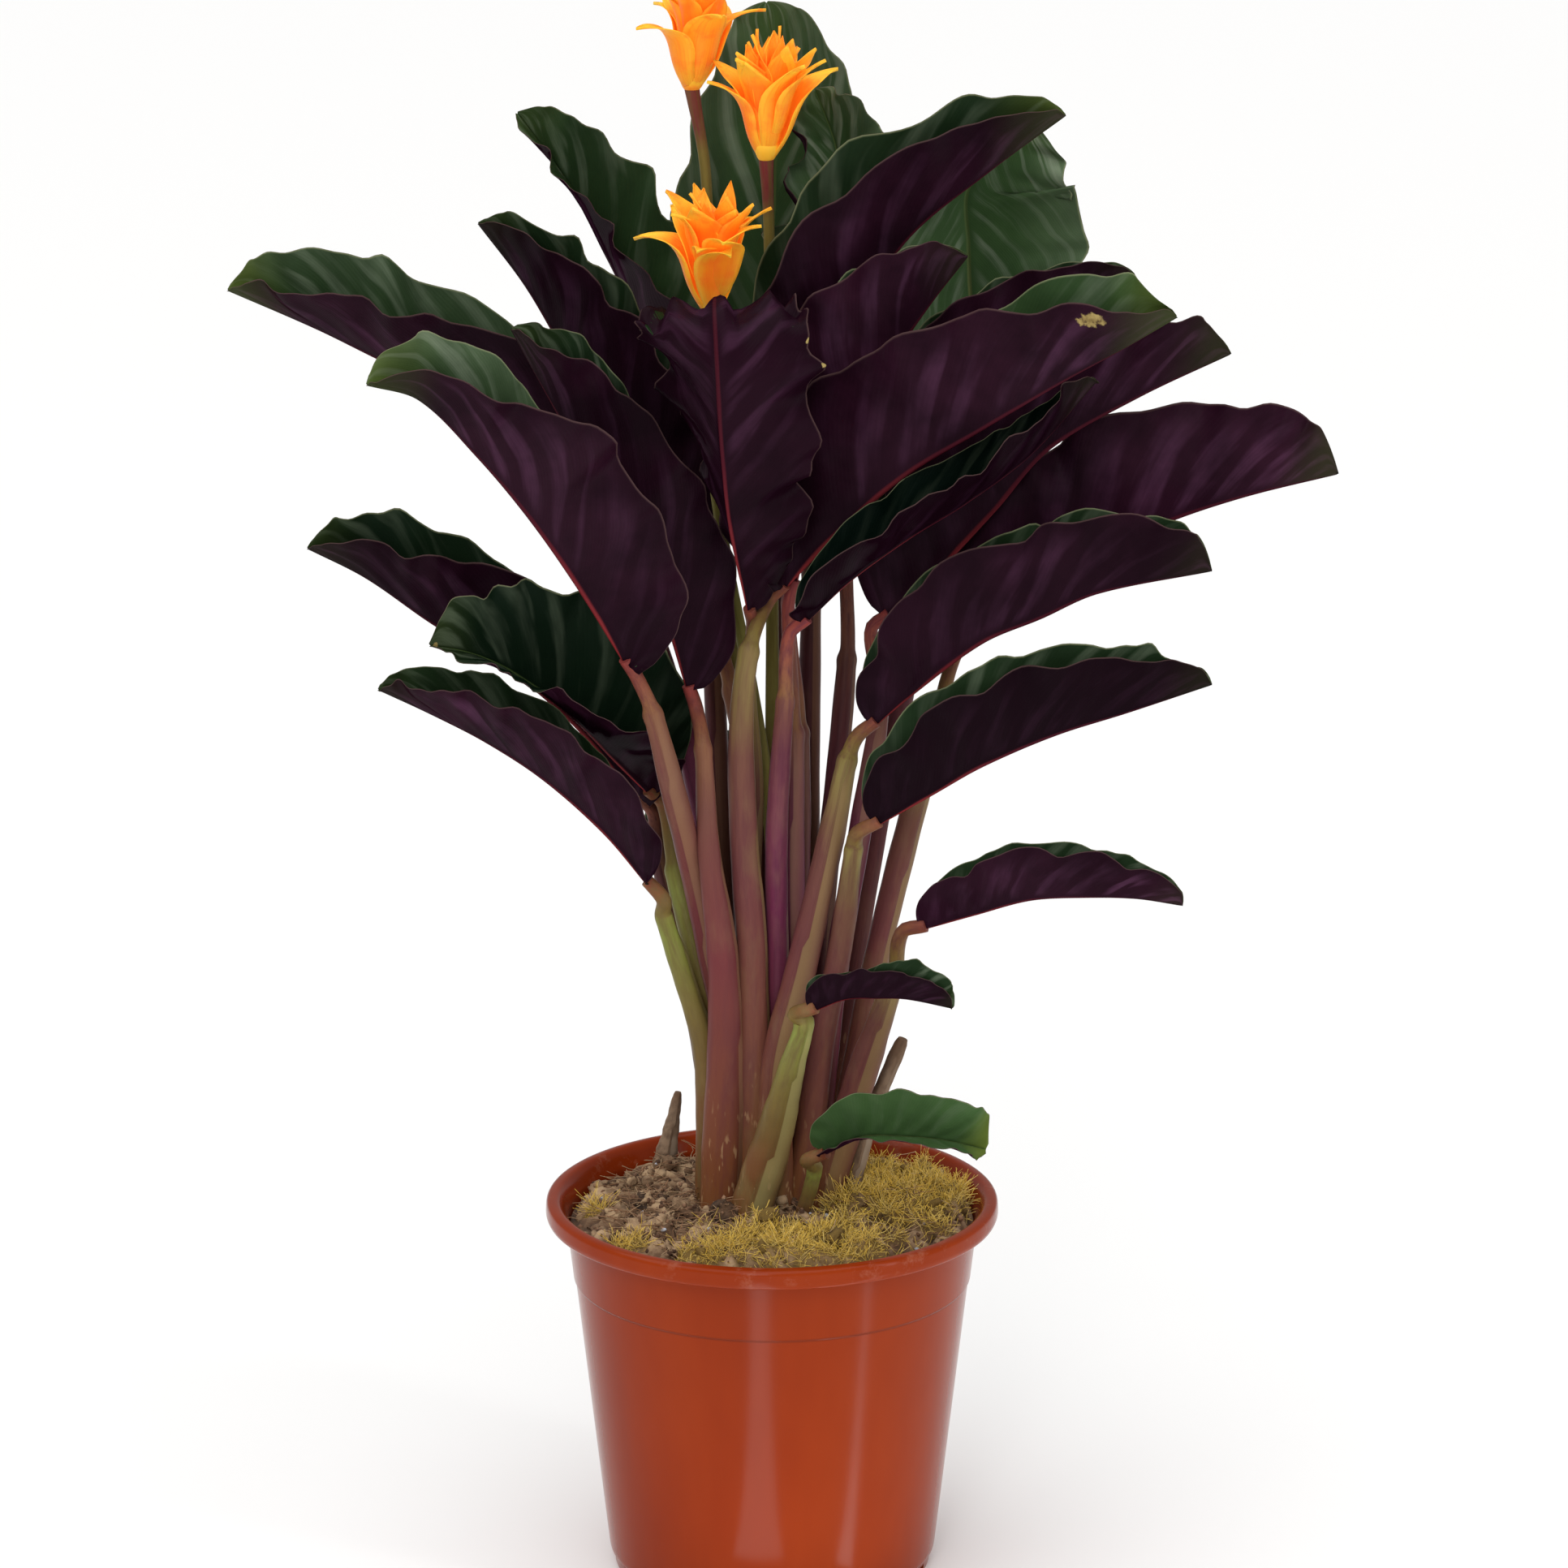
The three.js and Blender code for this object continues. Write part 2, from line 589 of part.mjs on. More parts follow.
for (let i = 0; i < potMesh.numVert; i += 1) {
  potPositions.push(...potMesh.vertProperties.slice(i * potMesh.numProp, i * potMesh.numProp + 3));
}
add('pot', makeGeometry(potPositions, [...potMesh.triVerts]), COLOURS.pot);

// Soil: fills the pot to just under the rim, a little higher in the middle.
add('soil', makeLathe([
  [0, 7.2], [59.8, 7.2], [60.3, 8.6], [72.8, 119.6], [74.6, 121.6], [75.8, 134.6], [73, 137.6], [60, 139.2],
  [46, SOIL_TOP], [0, SOIL_TOP],
]), COLOURS.soil);

for (const leaf of LEAVES) {
  const colour = leaf.name.startsWith('back') ? COLOURS.back_blade : COLOURS.blade;
  add(`leaf_${leaf.name}`, makeBlade(leaf), colour);
  add(`stalk_${leaf.name}`, makeStalk(leaf), COLOURS.stalk);
}

for (const flower of FLOWERS) {
  const route = flower.stalk.map((p, i) => (i === 0 ? [p[0], p[1], SOIL_TOP + SEAT_GAP] : p));
  const stalk = makeBar(route, FLOWER_STALK_RADII, STALK_SIDES, STALK_STEPS);
  add(`flower_stalk_${flower.name}`, stalk, COLOURS.flower_stalk);
  add(`flower_head_${flower.name}`, makeHead(flower), COLOURS.head);
}

for (const stub of STUBS) {
  const route = stub.route.map((p, i) => (i === 0 ? [p[0], p[1], p[2] + SEAT_GAP] : p));
  add(stub.name, makeBar(route, stub.radii, STALK_SIDES, 4), COLOURS.stub);
}

export default group;
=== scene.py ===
# Eternal flame calathea growing in a 17 cm nursery pot: folded leaves on sheathed stalks, three flower heads,
# peat and moss, and the terracotta coloured plastic pot that holds them.
import math

import bmesh
import bpy
import numpy as np
from mathutils import Matrix, Vector, noise


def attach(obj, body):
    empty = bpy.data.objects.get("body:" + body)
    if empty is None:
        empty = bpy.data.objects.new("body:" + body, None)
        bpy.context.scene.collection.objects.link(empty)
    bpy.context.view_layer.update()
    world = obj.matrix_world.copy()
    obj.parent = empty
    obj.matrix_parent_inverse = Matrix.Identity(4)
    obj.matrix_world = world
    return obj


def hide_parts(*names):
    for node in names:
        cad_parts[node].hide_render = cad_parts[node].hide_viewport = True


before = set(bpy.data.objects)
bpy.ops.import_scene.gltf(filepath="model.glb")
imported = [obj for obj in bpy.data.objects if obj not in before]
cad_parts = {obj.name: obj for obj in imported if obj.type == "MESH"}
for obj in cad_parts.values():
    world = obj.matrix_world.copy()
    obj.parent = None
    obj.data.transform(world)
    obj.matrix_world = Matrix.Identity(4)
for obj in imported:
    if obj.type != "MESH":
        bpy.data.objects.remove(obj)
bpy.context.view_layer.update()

# ---------------------------------------------------------------------------------------------------------
# Camera
# It looks a little down on the plant from straight in front, through a long lens.
mm = 0.001
pot_place = Vector((-7 * mm, 8 * mm, 0))  # the pot's axis from the middle of the whole outline
camera_data = bpy.data.cameras.new("camera")
camera_data.sensor_width = 36
camera_data.lens = 134.46
camera_data.clip_end = 20
camera = bpy.data.objects.new("camera", camera_data)
camera.location = pot_place + Vector((4.5 * mm, -2085 * mm, 863 * mm))
camera.rotation_euler = (math.radians(75), 0, 0)
bpy.context.scene.collection.objects.link(camera)
bpy.context.scene.camera = camera
bpy.context.scene.view_settings.view_transform = "Standard"

# ---------------------------------------------------------------------------------------------------------
# Pot
# Injection moulded polypropylene, about 1.3 mm thick: a ring foot with four drain slots, a tapered body, a
# slightly wider collar and a rolled rim. It stands on the ring.
POT_SIDES = 176
FOOT_RADIUS = 59.8
SLOT_ANGLES = (-30, 60, 150, 240)
SLOT_SIZE = (27, 12, 4)
SLOT_HEIGHT = 1.2
STEP_HEIGHT = 113.6
SHARPEST_FOLD = 38  # in degrees; anything flatter is shaded smooth
# radius, height and corner radius in mm, from the middle of the underside round to the middle of the floor
POT_PROFILE = [
    (57.6, 5, 0.6), (57.6, 0, 0.5), (59.8, 0, 0.5), (60.3, 5.1, 0.3), (61.5, 5.5, 0.5), (61.9, 7.2, 0.8),
    (74.0, 113.3, 0.3), (74.7, 113.9, 0.3), (77.3, 136.4, 0.8), (84.1, 137, 1.6), (85, 139, 1.5),
    (84.7, 144.3, 2.1), (80.6, 144.7, 1.8), (78.7, 142.6, 1.5), (76.4, 137.6, 1.0), (75, 121.4, 0.8),
    (73.2, 119.4, 0.8), (60.7, 8.4, 1.2), (59, 6.8, 1),
]


def link_piece(name, mesh, materials):
    """A finished piece at the origin, with its material slots."""
    piece = bpy.data.objects.new(name, mesh)
    bpy.context.scene.collection.objects.link(piece)
    for material in materials:
        mesh.materials.append(material)
    return piece


def feed(tree, node, inputs):
    """Sets a node's inputs by name or number, each to a value or to the output socket that feeds it."""
    for key, value in inputs.items():
        if isinstance(value, bpy.types.NodeSocket):
            tree.links.new(value, node.inputs[key])
        else:
            node.inputs[key].default_value = value
    return node


def add_node(tree, kind, inputs, **settings):
    """One shader or geometry node with its settings and inputs."""
    node = tree.nodes.new(kind)
    for key, value in settings.items():
        setattr(node, key, value)
    return feed(tree, node, inputs)


def new_material(name, inputs):
    """A principled material with these inputs on its shader; returns it with its node tree and shader."""
    material = bpy.data.materials.new(name)
    material.use_nodes = True
    shader = material.node_tree.nodes["Principled BSDF"]
    return material, material.node_tree, feed(material.node_tree, shader, inputs)


def maths(tree, operation, *values):
    """The result of a Math node over numbers or output sockets."""
    return add_node(tree, "ShaderNodeMath", dict(enumerate(values)), operation=operation).outputs["Value"]


def times(tree, first, second):
    return maths(tree, "MULTIPLY", first, second)


def ranged(tree, value, low, high, to_low=0.0, to_high=1.0, kind="LINEAR"):
    """A value between low and high, stretched to lie between to_low and to_high."""
    limits = {"Value": value, "From Min": low, "From Max": high, "To Min": to_low, "To Max": to_high}
    return add_node(tree, "ShaderNodeMapRange", limits, interpolation_type=kind).outputs["Result"]


def vector(tree, x, y, z):
    return add_node(tree, "ShaderNodeCombineXYZ", {"X": x, "Y": y, "Z": z}).outputs["Vector"]


def blended(tree, factor, first, second):
    """Two colours, each an output socket or an RGB value, mixed by a factor."""
    inputs = {"Factor": factor}
    for key, colour in (("A", first), ("B", second)):
        inputs[key] = colour if isinstance(colour, bpy.types.NodeSocket) else (*colour, 1)
    return add_node(tree, "ShaderNodeMix", inputs, data_type="RGBA").outputs["Result"]


def colour_steps(tree, factor, steps):
    """A colour ramp over (place, colour) steps, fed by factor; returns its colour output."""
    ramp = add_node(tree, "ShaderNodeValToRGB", {"Fac": factor})
    elements = ramp.color_ramp.elements
    while len(elements) < len(steps):
        elements.new(0.5)
    for element, (place, colour) in zip(elements, steps):
        element.position = place
        element.color = (*colour, 1)
    return ramp.outputs["Color"]


def bumped(tree, shader, height, distance, strength):
    """Feeds a height through a Bump node into the shader's normal."""
    bump = add_node(tree, "ShaderNodeBump", {"Height": height, "Distance": distance, "Strength": strength})
    feed(tree, shader, {"Normal": bump.outputs["Normal"]})


def new_group(name, inputs, outputs):
    """A shader node group with named inputs and outputs; returns it, what it is given and its output node."""
    group = bpy.data.node_groups.new(name, "ShaderNodeTree")
    for label, value in inputs.items():
        socket = group.interface.new_socket(label, in_out="INPUT", socket_type="NodeSocketFloat")
        socket.default_value = value
    for label in outputs:
        group.interface.new_socket(label, in_out="OUTPUT", socket_type="NodeSocketFloat")
    return group, group.nodes.new("NodeGroupInput").outputs, group.nodes.new("NodeGroupOutput")


def make_speckle_group():
    """Cloudy variation and fine grain over a surface, from object coordinates."""
    scales = {"Cloud Scale": 20.0, "Grain Scale": 900.0, "Stretch": 1.0}
    group, given, made = new_group("mould_and_grain", scales, ("Cloud", "Grain"))
    place = group.nodes.new("ShaderNodeTexCoord").outputs["Object"]
    stretch = vector(group, 1, 1, given["Stretch"])
    scaled = add_node(group, "ShaderNodeVectorMath", {0: place, 1: stretch}, operation="MULTIPLY")
    for name, detail in (("Cloud", 4.0), ("Grain", 2.0)):
        texture = add_node(group, "ShaderNodeTexNoise", {
            "Vector": scaled.outputs["Vector"], "Scale": given[name + " Scale"], "Detail": detail,
            "Roughness": 0.6,
        })
        feed(group, made, {name: texture.outputs["Fac"]})
    return group


speckle_group = make_speckle_group()


def speckle(tree, cloud, grain, stretch=1.0):
    """The speckle group placed in a material with its own sizes; returns its outputs."""
    inputs = {"Cloud Scale": cloud, "Grain Scale": grain, "Stretch": stretch}
    return add_node(tree, "ShaderNodeGroup", inputs, node_tree=speckle_group).outputs


def rounded_corners(profile):
    """The profile's points in metres with each corner replaced by a short arc."""
    points = []
    for i, (r, z, corner) in enumerate(profile):
        here = Vector((r, z))
        before = Vector(profile[i - 1][:2]) if i else Vector((0, z))
        after = Vector(profile[i + 1][:2]) if i + 1 < len(profile) else Vector((0, z))
        to_before = before - here
        to_after = after - here
        reach = min(corner, to_before.length * 0.45, to_after.length * 0.45)
        start = here + to_before.normalized() * reach
        end = here + to_after.normalized() * reach
        for k in range(5):
            u = k / 4
            p = start * (1 - u) ** 2 + here * 2 * u * (1 - u) + end * u ** 2
            points.append((p.x * mm, p.y * mm))
    return points


def turned_mesh(name, points, sides):
    """A closed body turned about the pot's axis from (radius, height) points, closed at both ends."""
    body = bmesh.new()
    rings = []
    for r, z in points:
        ring = []
        for k in range(sides):
            a = 2 * math.pi * k / sides
            ring.append(body.verts.new((r * math.sin(a), -r * math.cos(a), z)))
        rings.append(ring)
    for lower, upper in zip(rings, rings[1:]):
        for k in range(sides):
            n = (k + 1) % sides
            body.faces.new((lower[k], lower[n], upper[n], upper[k]))
    under = body.verts.new((0, 0, points[0][1]))
    over = body.verts.new((0, 0, points[-1][1]))
    for k in range(sides):
        n = (k + 1) % sides
        body.faces.new((under, rings[0][n], rings[0][k]))
        body.faces.new((over, rings[-1][k], rings[-1][n]))
    bmesh.ops.recalc_face_normals(body, faces=body.faces)
    mesh = bpy.data.meshes.new(name)
    body.to_mesh(mesh)
    body.free()
    return mesh


def make_pot_material():
    """Terracotta coloured plastic: satin, a little cloudy, faintly scuffed, with dusty marks near the rim and
    a dark line of painted shade under the step.
    """
    material, tree, shader = new_material("terracotta_plastic", {"Specular IOR Level": 0.12})
    spots = speckle(tree, cloud=14.0, grain=1400.0, stretch=0.35)
    colour = colour_steps(tree, spots["Cloud"], [
        (0.3, (0.21, 0.021, 0.002)), (0.5, (0.24, 0.026, 0.0025)), (0.72, (0.28, 0.034, 0.004)),
    ])
    place = tree.nodes.new("ShaderNodeTexCoord").outputs["Object"]
    height = add_node(tree, "ShaderNodeSeparateXYZ", {"Vector": place}).outputs["Z"]
    dust = add_node(tree, "ShaderNodeTexNoise", {
        "Vector": place, "Scale": 60.0, "Detail": 8.0, "Roughness": 0.75,
    })
    dust = ranged(tree, dust.outputs["Fac"], 0.56, 0.74, 0.0, 0.55)
    near_rim = ranged(tree, height, 0.132, 0.146)
    colour = blended(tree, times(tree, near_rim, dust), colour, (0.42, 0.2, 0.13))
    # a dark line of painted shade under the step, where the ledge faces down
    from_step = maths(tree, "ABSOLUTE", maths(tree, "SUBTRACT", height, STEP_HEIGHT * mm))
    line = ranged(tree, from_step, 0.0009, 0.0003, 0.0, 0.6)
    colour = blended(tree, line, colour, (0.12, 0.014, 0.002))
    feed(tree, shader, {"Base Color": colour, "Roughness": ranged(tree, spots["Cloud"], 0.0, 1.0, 0.1, 0.24)})
    bumped(tree, shader, spots["Grain"], 0.00006, 0.4)
    return material


pot_mesh = turned_mesh("nursery_pot", rounded_corners(POT_PROFILE), POT_SIDES)
pot = link_piece("nursery_pot", pot_mesh, [])
slot_cutter = bmesh.new()
for slot_angle in SLOT_ANGLES:
    turn = Matrix.Rotation(math.radians(slot_angle), 4, "Z")
    shift = Matrix.Translation((0, -FOOT_RADIUS * mm, SLOT_HEIGHT * mm))
    size = Matrix.Diagonal((*(side * mm for side in SLOT_SIZE), 1))
    bmesh.ops.create_cube(slot_cutter, size=1, matrix=turn @ shift @ size)
cutter_mesh = bpy.data.meshes.new("drain_slots")
slot_cutter.to_mesh(cutter_mesh)
slot_cutter.free()
cutter = link_piece("drain_slots", cutter_mesh, [])
cut = pot.modifiers.new("drain_slots", "BOOLEAN")
cut.object = cutter
cut.operation = "DIFFERENCE"
cut.solver = "EXACT"


def plain_mesh(piece):
    """A new mesh of the piece as its modifiers leave it."""
    graph = bpy.context.evaluated_depsgraph_get()
    return bpy.data.meshes.new_from_object(piece.evaluated_get(graph))


def settle(piece):
    """Turns a piece and its modifiers into a plain mesh, and puts it in place round the pot's axis."""
    mesh = plain_mesh(piece)
    piece.modifiers.clear()
    piece.data = mesh
    mesh.transform(Matrix.Translation(pot_place))


settle(pot)
bpy.data.objects.remove(cutter)
pot.data.materials.append(make_pot_material())
pot.data.shade_smooth()
pot.data.set_sharp_from_angle(angle=math.radians(SHARPEST_FOLD))
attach(pot, "root")
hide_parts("pot")

# ---------------------------------------------------------------------------------------------------------
# Soil
# Brown peat with coir: a lumpy surface with clods, crumbs, reddish fibres and a few pale fertiliser grains.
# It fills the pot to just under the rim.
SOIL_SIDES = 224
SOIL_RINGS = np.concatenate([np.linspace(1.6, 70, 60), [71, 72.2, 73.3, 74.3, 75.1, 75.7]])
# radius and height in mm: the top from its middle to the pot's wall, and down that wall to the pot's floor
SOIL_EDGE = 75.8
SOIL_SLOPE = ((0, 140), (46, 140), (60, 139.2), (73, 137.6), (SOIL_EDGE, 134.6))
SOIL_WALL = ((74.6, 121.6), (72.8, 119.6), (60.3, 8.6), (58.6, 7.2))
# size in mm, height in mm and place in the noise of the lumps in the soil
SOIL_LUMPS = ((13, 4.2, 0), (5.5, 3.4, 5), (2.4, 1.8, 9))
# beyond these radii nothing grows: what is large or long keeps clear of the pot's wall
MIDDLE_RADIUS = 63
LOOSE_RADIUS = 73
MOSS_RADIUS = 74
# centre across and in depth, half width, half depth and rise of each patch of moss
MOSS_PATCHES = [(10, -46, 34, 18, 3), (47, 7, 27, 29, 6), (-26, -56, 10, 7, 1), (-54, -42, 8, 6, 1),
                (-66, -2, 4, 8, 0)]


def moss_cover(x, y):
    """0 on bare peat to 1 in the middle of a patch of moss, with the rise of the patch in mm."""
    cover = rise = 0
    ragged = 0.5 * noise.noise(Vector((x / 8, y / 8, 3))) + 0.3 * noise.noise(Vector((x / 3, y / 3, 7)))
    for cx, cy, wide, deep, height in MOSS_PATCHES:
        inside = 1.25 - math.hypot((x - cx) / wide, (y - cy) / deep) + ragged
        inside = min(max(inside * 2.2, 0), 1)
        cover = max(cover, inside)
        rise = max(rise, height * inside * inside * (3 - 2 * inside))
    return cover, rise


def make_soil_mesh():
    """The plug of soil, with a lumpy top and the point attributes tone, moss, loose and middle."""
    slope_r, slope_z = zip(*SOIL_SLOPE)
    body = bmesh.new()
    new_layer = body.verts.layers.float.new
    tone, moss, loose, middle = (new_layer(name) for name in ("tone", "moss", "loose", "middle"))
    turns = [2 * math.pi * k / SOIL_SIDES for k in range(SOIL_SIDES)]
    rings = []
    for r in SOIL_RINGS:
        ring = []
        for a in turns:
            x, y = r * math.sin(a), -r * math.cos(a)
            cover, rise = moss_cover(x, y)
            lumps = sum(high * noise.noise(Vector((x / wide, y / wide, at))) for wide, high, at in SOIL_LUMPS)
            edge = min(1, (SOIL_EDGE - r) / 5)
            z = float(np.interp(r, slope_r, slope_z)) + (lumps + rise) * edge
            vertex = body.verts.new((x * mm, y * mm, z * mm))
            # tone follows the lumps: darker in the hollows and lighter on the tops, as painted shade in the
            # hollows
            vertex[tone] = min(max(0.45 + 0.22 * lumps, 0), 1)
            vertex[moss] = cover if r < MOSS_RADIUS else 0
            vertex[loose] = (1 - 0.8 * cover) if r < LOOSE_RADIUS else 0
            vertex[middle] = (1 - 0.8 * cover) if r < MIDDLE_RADIUS else 0
            ring.append(vertex)
        rings.append(ring)
    for r, z in SOIL_WALL:
        rings.append([body.verts.new((r * math.sin(a) * mm, -r * math.cos(a) * mm, z * mm)) for a in turns])
    for inner, outer in zip(rings, rings[1:]):
        for k in range(SOIL_SIDES):
            n = (k + 1) % SOIL_SIDES
            body.faces.new((inner[k], outer[k], outer[n], inner[n]))
    body.faces.new(rings[0])
    body.faces.new(rings[-1])
    bmesh.ops.recalc_face_normals(body, faces=body.faces)
    mesh = bpy.data.meshes.new("soil_surface")
    body.to_mesh(mesh)
    body.free()
    return mesh


def new_tree(name, inputs):
    """A geometry tree with named inputs (name, kind, value) besides its geometry, material and seed; returns
    it with what it is given and its output node."""
    tree = bpy.data.node_groups.new(name, "GeometryNodeTree")
    shared = [("Geometry", "Geometry", None), ("Material", "Material", None), ("Seed", "Int", 1)]
    for label, kind, value in shared + inputs:
        socket = tree.interface.new_socket(label, in_out="INPUT", socket_type="NodeSocket" + kind)
        if value is not None:
            socket.default_value = value
    tree.interface.new_socket("Geometry", in_out="OUTPUT", socket_type="NodeSocketGeometry")
    return tree, tree.nodes.new("NodeGroupInput").outputs, tree.nodes.new("NodeGroupOutput")


def scatter_points(tree, given):
    """Points over the incoming faces, as dense as the attribute named by Cover says."""
    cover = add_node(tree, "GeometryNodeInputNamedAttribute", {"Name": given["Cover"]})
    density = times(tree, cover.outputs["Attribute"], given["Density"])
    points = add_node(tree, "GeometryNodeDistributePointsOnFaces", {
        "Mesh": given["Geometry"], "Density": density, "Seed": given["Seed"],
    })
    return points.outputs["Points"]


def random_value(tree, given, low, high, offset, kind="FLOAT"):
    """A random value for each point; low and high are numbers or output sockets."""
    seed = maths(tree, "ADD", given["Seed"], offset)
    node = add_node(tree, "FunctionNodeRandomValue", {"Min": low, "Max": high, "Seed": seed}, data_type=kind)
    return node.outputs["Value"]


def real_copies(tree, given, points, copied, turn, scale, offset):
    """Copies set on points and made real, each with a random tone from 0 to 1."""
    place = add_node(tree, "GeometryNodeInstanceOnPoints", {
        "Points": points, "Instance": copied, "Rotation": turn, "Scale": scale,
    })
    toned = add_node(tree, "GeometryNodeStoreNamedAttribute", {
        "Geometry": place.outputs["Instances"], "Name": "tone",
        "Value": random_value(tree, given, 0.0, 1.0, offset),
    }, data_type="FLOAT", domain="INSTANCE")
    real = add_node(tree, "GeometryNodeRealizeInstances", {"Geometry": toned.outputs["Geometry"]})
    return real.outputs["Geometry"]


def scaled_vector(tree, direction, amount):
    node = add_node(tree, "ShaderNodeVectorMath", {0: direction, "Scale": amount}, operation="SCALE")
    return node.outputs["Vector"]


def shaken(tree, geometry, scale, amount):
    """The geometry with its points moved by a noise over their position, at most about half of amount."""
    texture = add_node(tree, "ShaderNodeTexNoise", {"Scale": scale, "Detail": 1.0})
    centred = add_node(tree, "ShaderNodeVectorMath", {0: texture.outputs["Color"], 1: (0.5, 0.5, 0.5)},
                       operation="SUBTRACT")
    offset = scaled_vector(tree, centred.outputs["Vector"], amount)
    moved = add_node(tree, "GeometryNodeSetPosition", {"Geometry": geometry, "Offset": offset})
    return moved.outputs["Geometry"]


def coloured(tree, given, geometry):
    node = add_node(tree, "GeometryNodeSetMaterial", {"Geometry": geometry, "Material": given["Material"]})
    return node.outputs["Geometry"]


def finish_tree(tree, given, made, grown):
    """Colours what has grown and joins it with the surface that it grew on, where that is kept."""
    choice = {"Switch": given["Keep Surface"], "True": given["Geometry"]}
    surface = add_node(tree, "GeometryNodeSwitch", choice, input_type="GEOMETRY")
    joined = add_node(tree, "GeometryNodeJoinGeometry", {"Geometry": coloured(tree, given, grown)})
    feed(tree, joined, {"Geometry": surface.outputs["Output"]})
    feed(tree, made, {"Geometry": joined.outputs["Geometry"]})


def make_clod_tree():
    """Rough lumps scattered over a surface."""
    tree, given, made = new_tree("clods", [
        ("Cover", "String", "loose"), ("Density", "Float", 1000.0), ("Smallest", "Float", 0.5 * mm),
        ("Largest", "Float", 2 * mm), ("Roughness", "Float", 0.5), ("Grain", "Float", 330.0),
        ("Fineness", "Int", 2), ("Keep Surface", "Bool", True),
    ])
    lump = add_node(tree, "GeometryNodeMeshIcoSphere", {"Radius": 1.0, "Subdivisions": given["Fineness"]})
    turn = random_value(tree, given, (0, 0, 0), (6.28, 6.28, 6.28), 11, "FLOAT_VECTOR")
    size = random_value(tree, given, given["Smallest"], given["Largest"], 12)
    stretch = random_value(tree, given, (0.6, 0.6, 0.45), (1.3, 1.3, 0.9), 13, "FLOAT_VECTOR")
    scale = scaled_vector(tree, stretch, size)
    lumps = real_copies(tree, given, scatter_points(tree, given), lump.outputs["Mesh"], turn, scale, 14)
    rough = shaken(tree, lumps, given["Grain"], times(tree, given["Largest"], given["Roughness"]))
    finish_tree(tree, given, made, rough)
    return tree


def make_strand_tree():
    """Thin crinkled strands that grow from a surface: flat lying fibres or upright moss."""
    tree, given, made = new_tree("strands", [
        ("Cover", "String", "loose"), ("Density", "Float", 1000.0), ("Shortest", "Float", 5 * mm),
        ("Longest", "Float", 15 * mm), ("Thickness", "Float", 0.2 * mm), ("Flattest", "Float", 0.0),
        ("Steepest", "Float", 0.4), ("Crinkle", "Float", 3 * mm), ("Crinkle Scale", "Float", 200.0),
        ("Points", "Int", 8), ("Keep Surface", "Bool", True),
    ])
    line = add_node(tree, "GeometryNodeCurvePrimitiveLine", {"End": (1, 0, 0)})
    strand = add_node(tree, "GeometryNodeResampleCurve", {
        "Curve": line.outputs["Curve"], "Count": given["Points"],
    })
    lift = random_value(tree, given, given["Flattest"], given["Steepest"], 21)
    turn = vector(tree, 0.0, times(tree, lift, -1.0), random_value(tree, given, 0.0, 6.283, 22))
    length = random_value(tree, given, given["Shortest"], given["Longest"], 23)
    # strands stand longer in tufts
    tufts = add_node(tree, "ShaderNodeTexNoise", {"Scale": 105.0, "Detail": 1.0})
    tufted = times(tree, length, ranged(tree, tufts.outputs["Fac"], 0.38, 0.62, 0.3, 1.5))
    strands = real_copies(tree, given, scatter_points(tree, given), strand.outputs["Curve"], turn, tufted, 24)
    along = tree.nodes.new("GeometryNodeSplineParameter").outputs["Factor"]
    kept = add_node(tree, "GeometryNodeStoreNamedAttribute", {
        "Geometry": strands, "Name": "along", "Value": along,
    }, data_type="FLOAT")
    # a strand is crinkled most at its tip
    amount = times(tree, along, given["Crinkle"])
    crinkled = shaken(tree, kept.outputs["Geometry"], given["Crinkle Scale"], amount)
    ring = add_node(tree, "GeometryNodeCurvePrimitiveCircle", {"Resolution": 3, "Radius": given["Thickness"]})
    solid = add_node(tree, "GeometryNodeCurveToMesh", {
        "Curve": crinkled, "Profile Curve": ring.outputs["Curve"], "Fill Caps": True,
    })
    finish_tree(tree, given, made, solid.outputs["Mesh"])
    return tree


def grow(piece, tree, **values):
    """Adds a geometry tree to a piece, with its named inputs."""
    modifier = piece.modifiers.new(tree.name, "NODES")
    modifier.node_group = tree
    for item in tree.interface.items_tree:
        key = item.name.replace(" ", "_").lower()
        if item.in_out == "INPUT" and key in values:
            modifier[item.identifier] = values[key]



def attribute(tree, name):
    """The value of one of the piece's own attributes."""
    return add_node(tree, "ShaderNodeAttribute", {}, attribute_name=name).outputs["Fac"]


def make_peat_material(name, dark, middle, light):
    """Matt crumbly peat: each loose lump has its own tone, the peat surface is darker in its hollows as
    painted shade, with grain all over.
    """
    material, tree, shader = new_material(name, {"Roughness": 0.92})
    spots = speckle(tree, cloud=160.0, grain=1800.0)
    blend = maths(tree, "MULTIPLY_ADD", attribute(tree, "tone"), 0.5, times(tree, spots["Cloud"], 0.75))
    colour = colour_steps(tree, blend, [(0.25, dark), (0.55, middle), (0.9, light)])
    feed(tree, shader, {"Base Color": blended(tree, attribute(tree, "moss"), colour, (0.16, 0.095, 0.018))})
    bumped(tree, shader, spots["Grain"], 0.0005, 0.8)
    return material


def make_fibre_material(name, root, tip, pale, roughness):
    """Dry strands that run from root to tip colour, some of them paler."""
    material, tree, shader = new_material(name, {"Roughness": roughness})
    colour = colour_steps(tree, attribute(tree, "along"), [(0.0, root), (0.7, tip)])
    share = ranged(tree, attribute(tree, "tone"), 0.45, 1.0, 0.0, 0.8)
    feed(tree, shader, {"Base Color": blended(tree, share, colour, pale)})
    bumped(tree, shader, speckle(tree, cloud=300.0, grain=3000.0)["Grain"], 0.0001, 0.5)
    return material


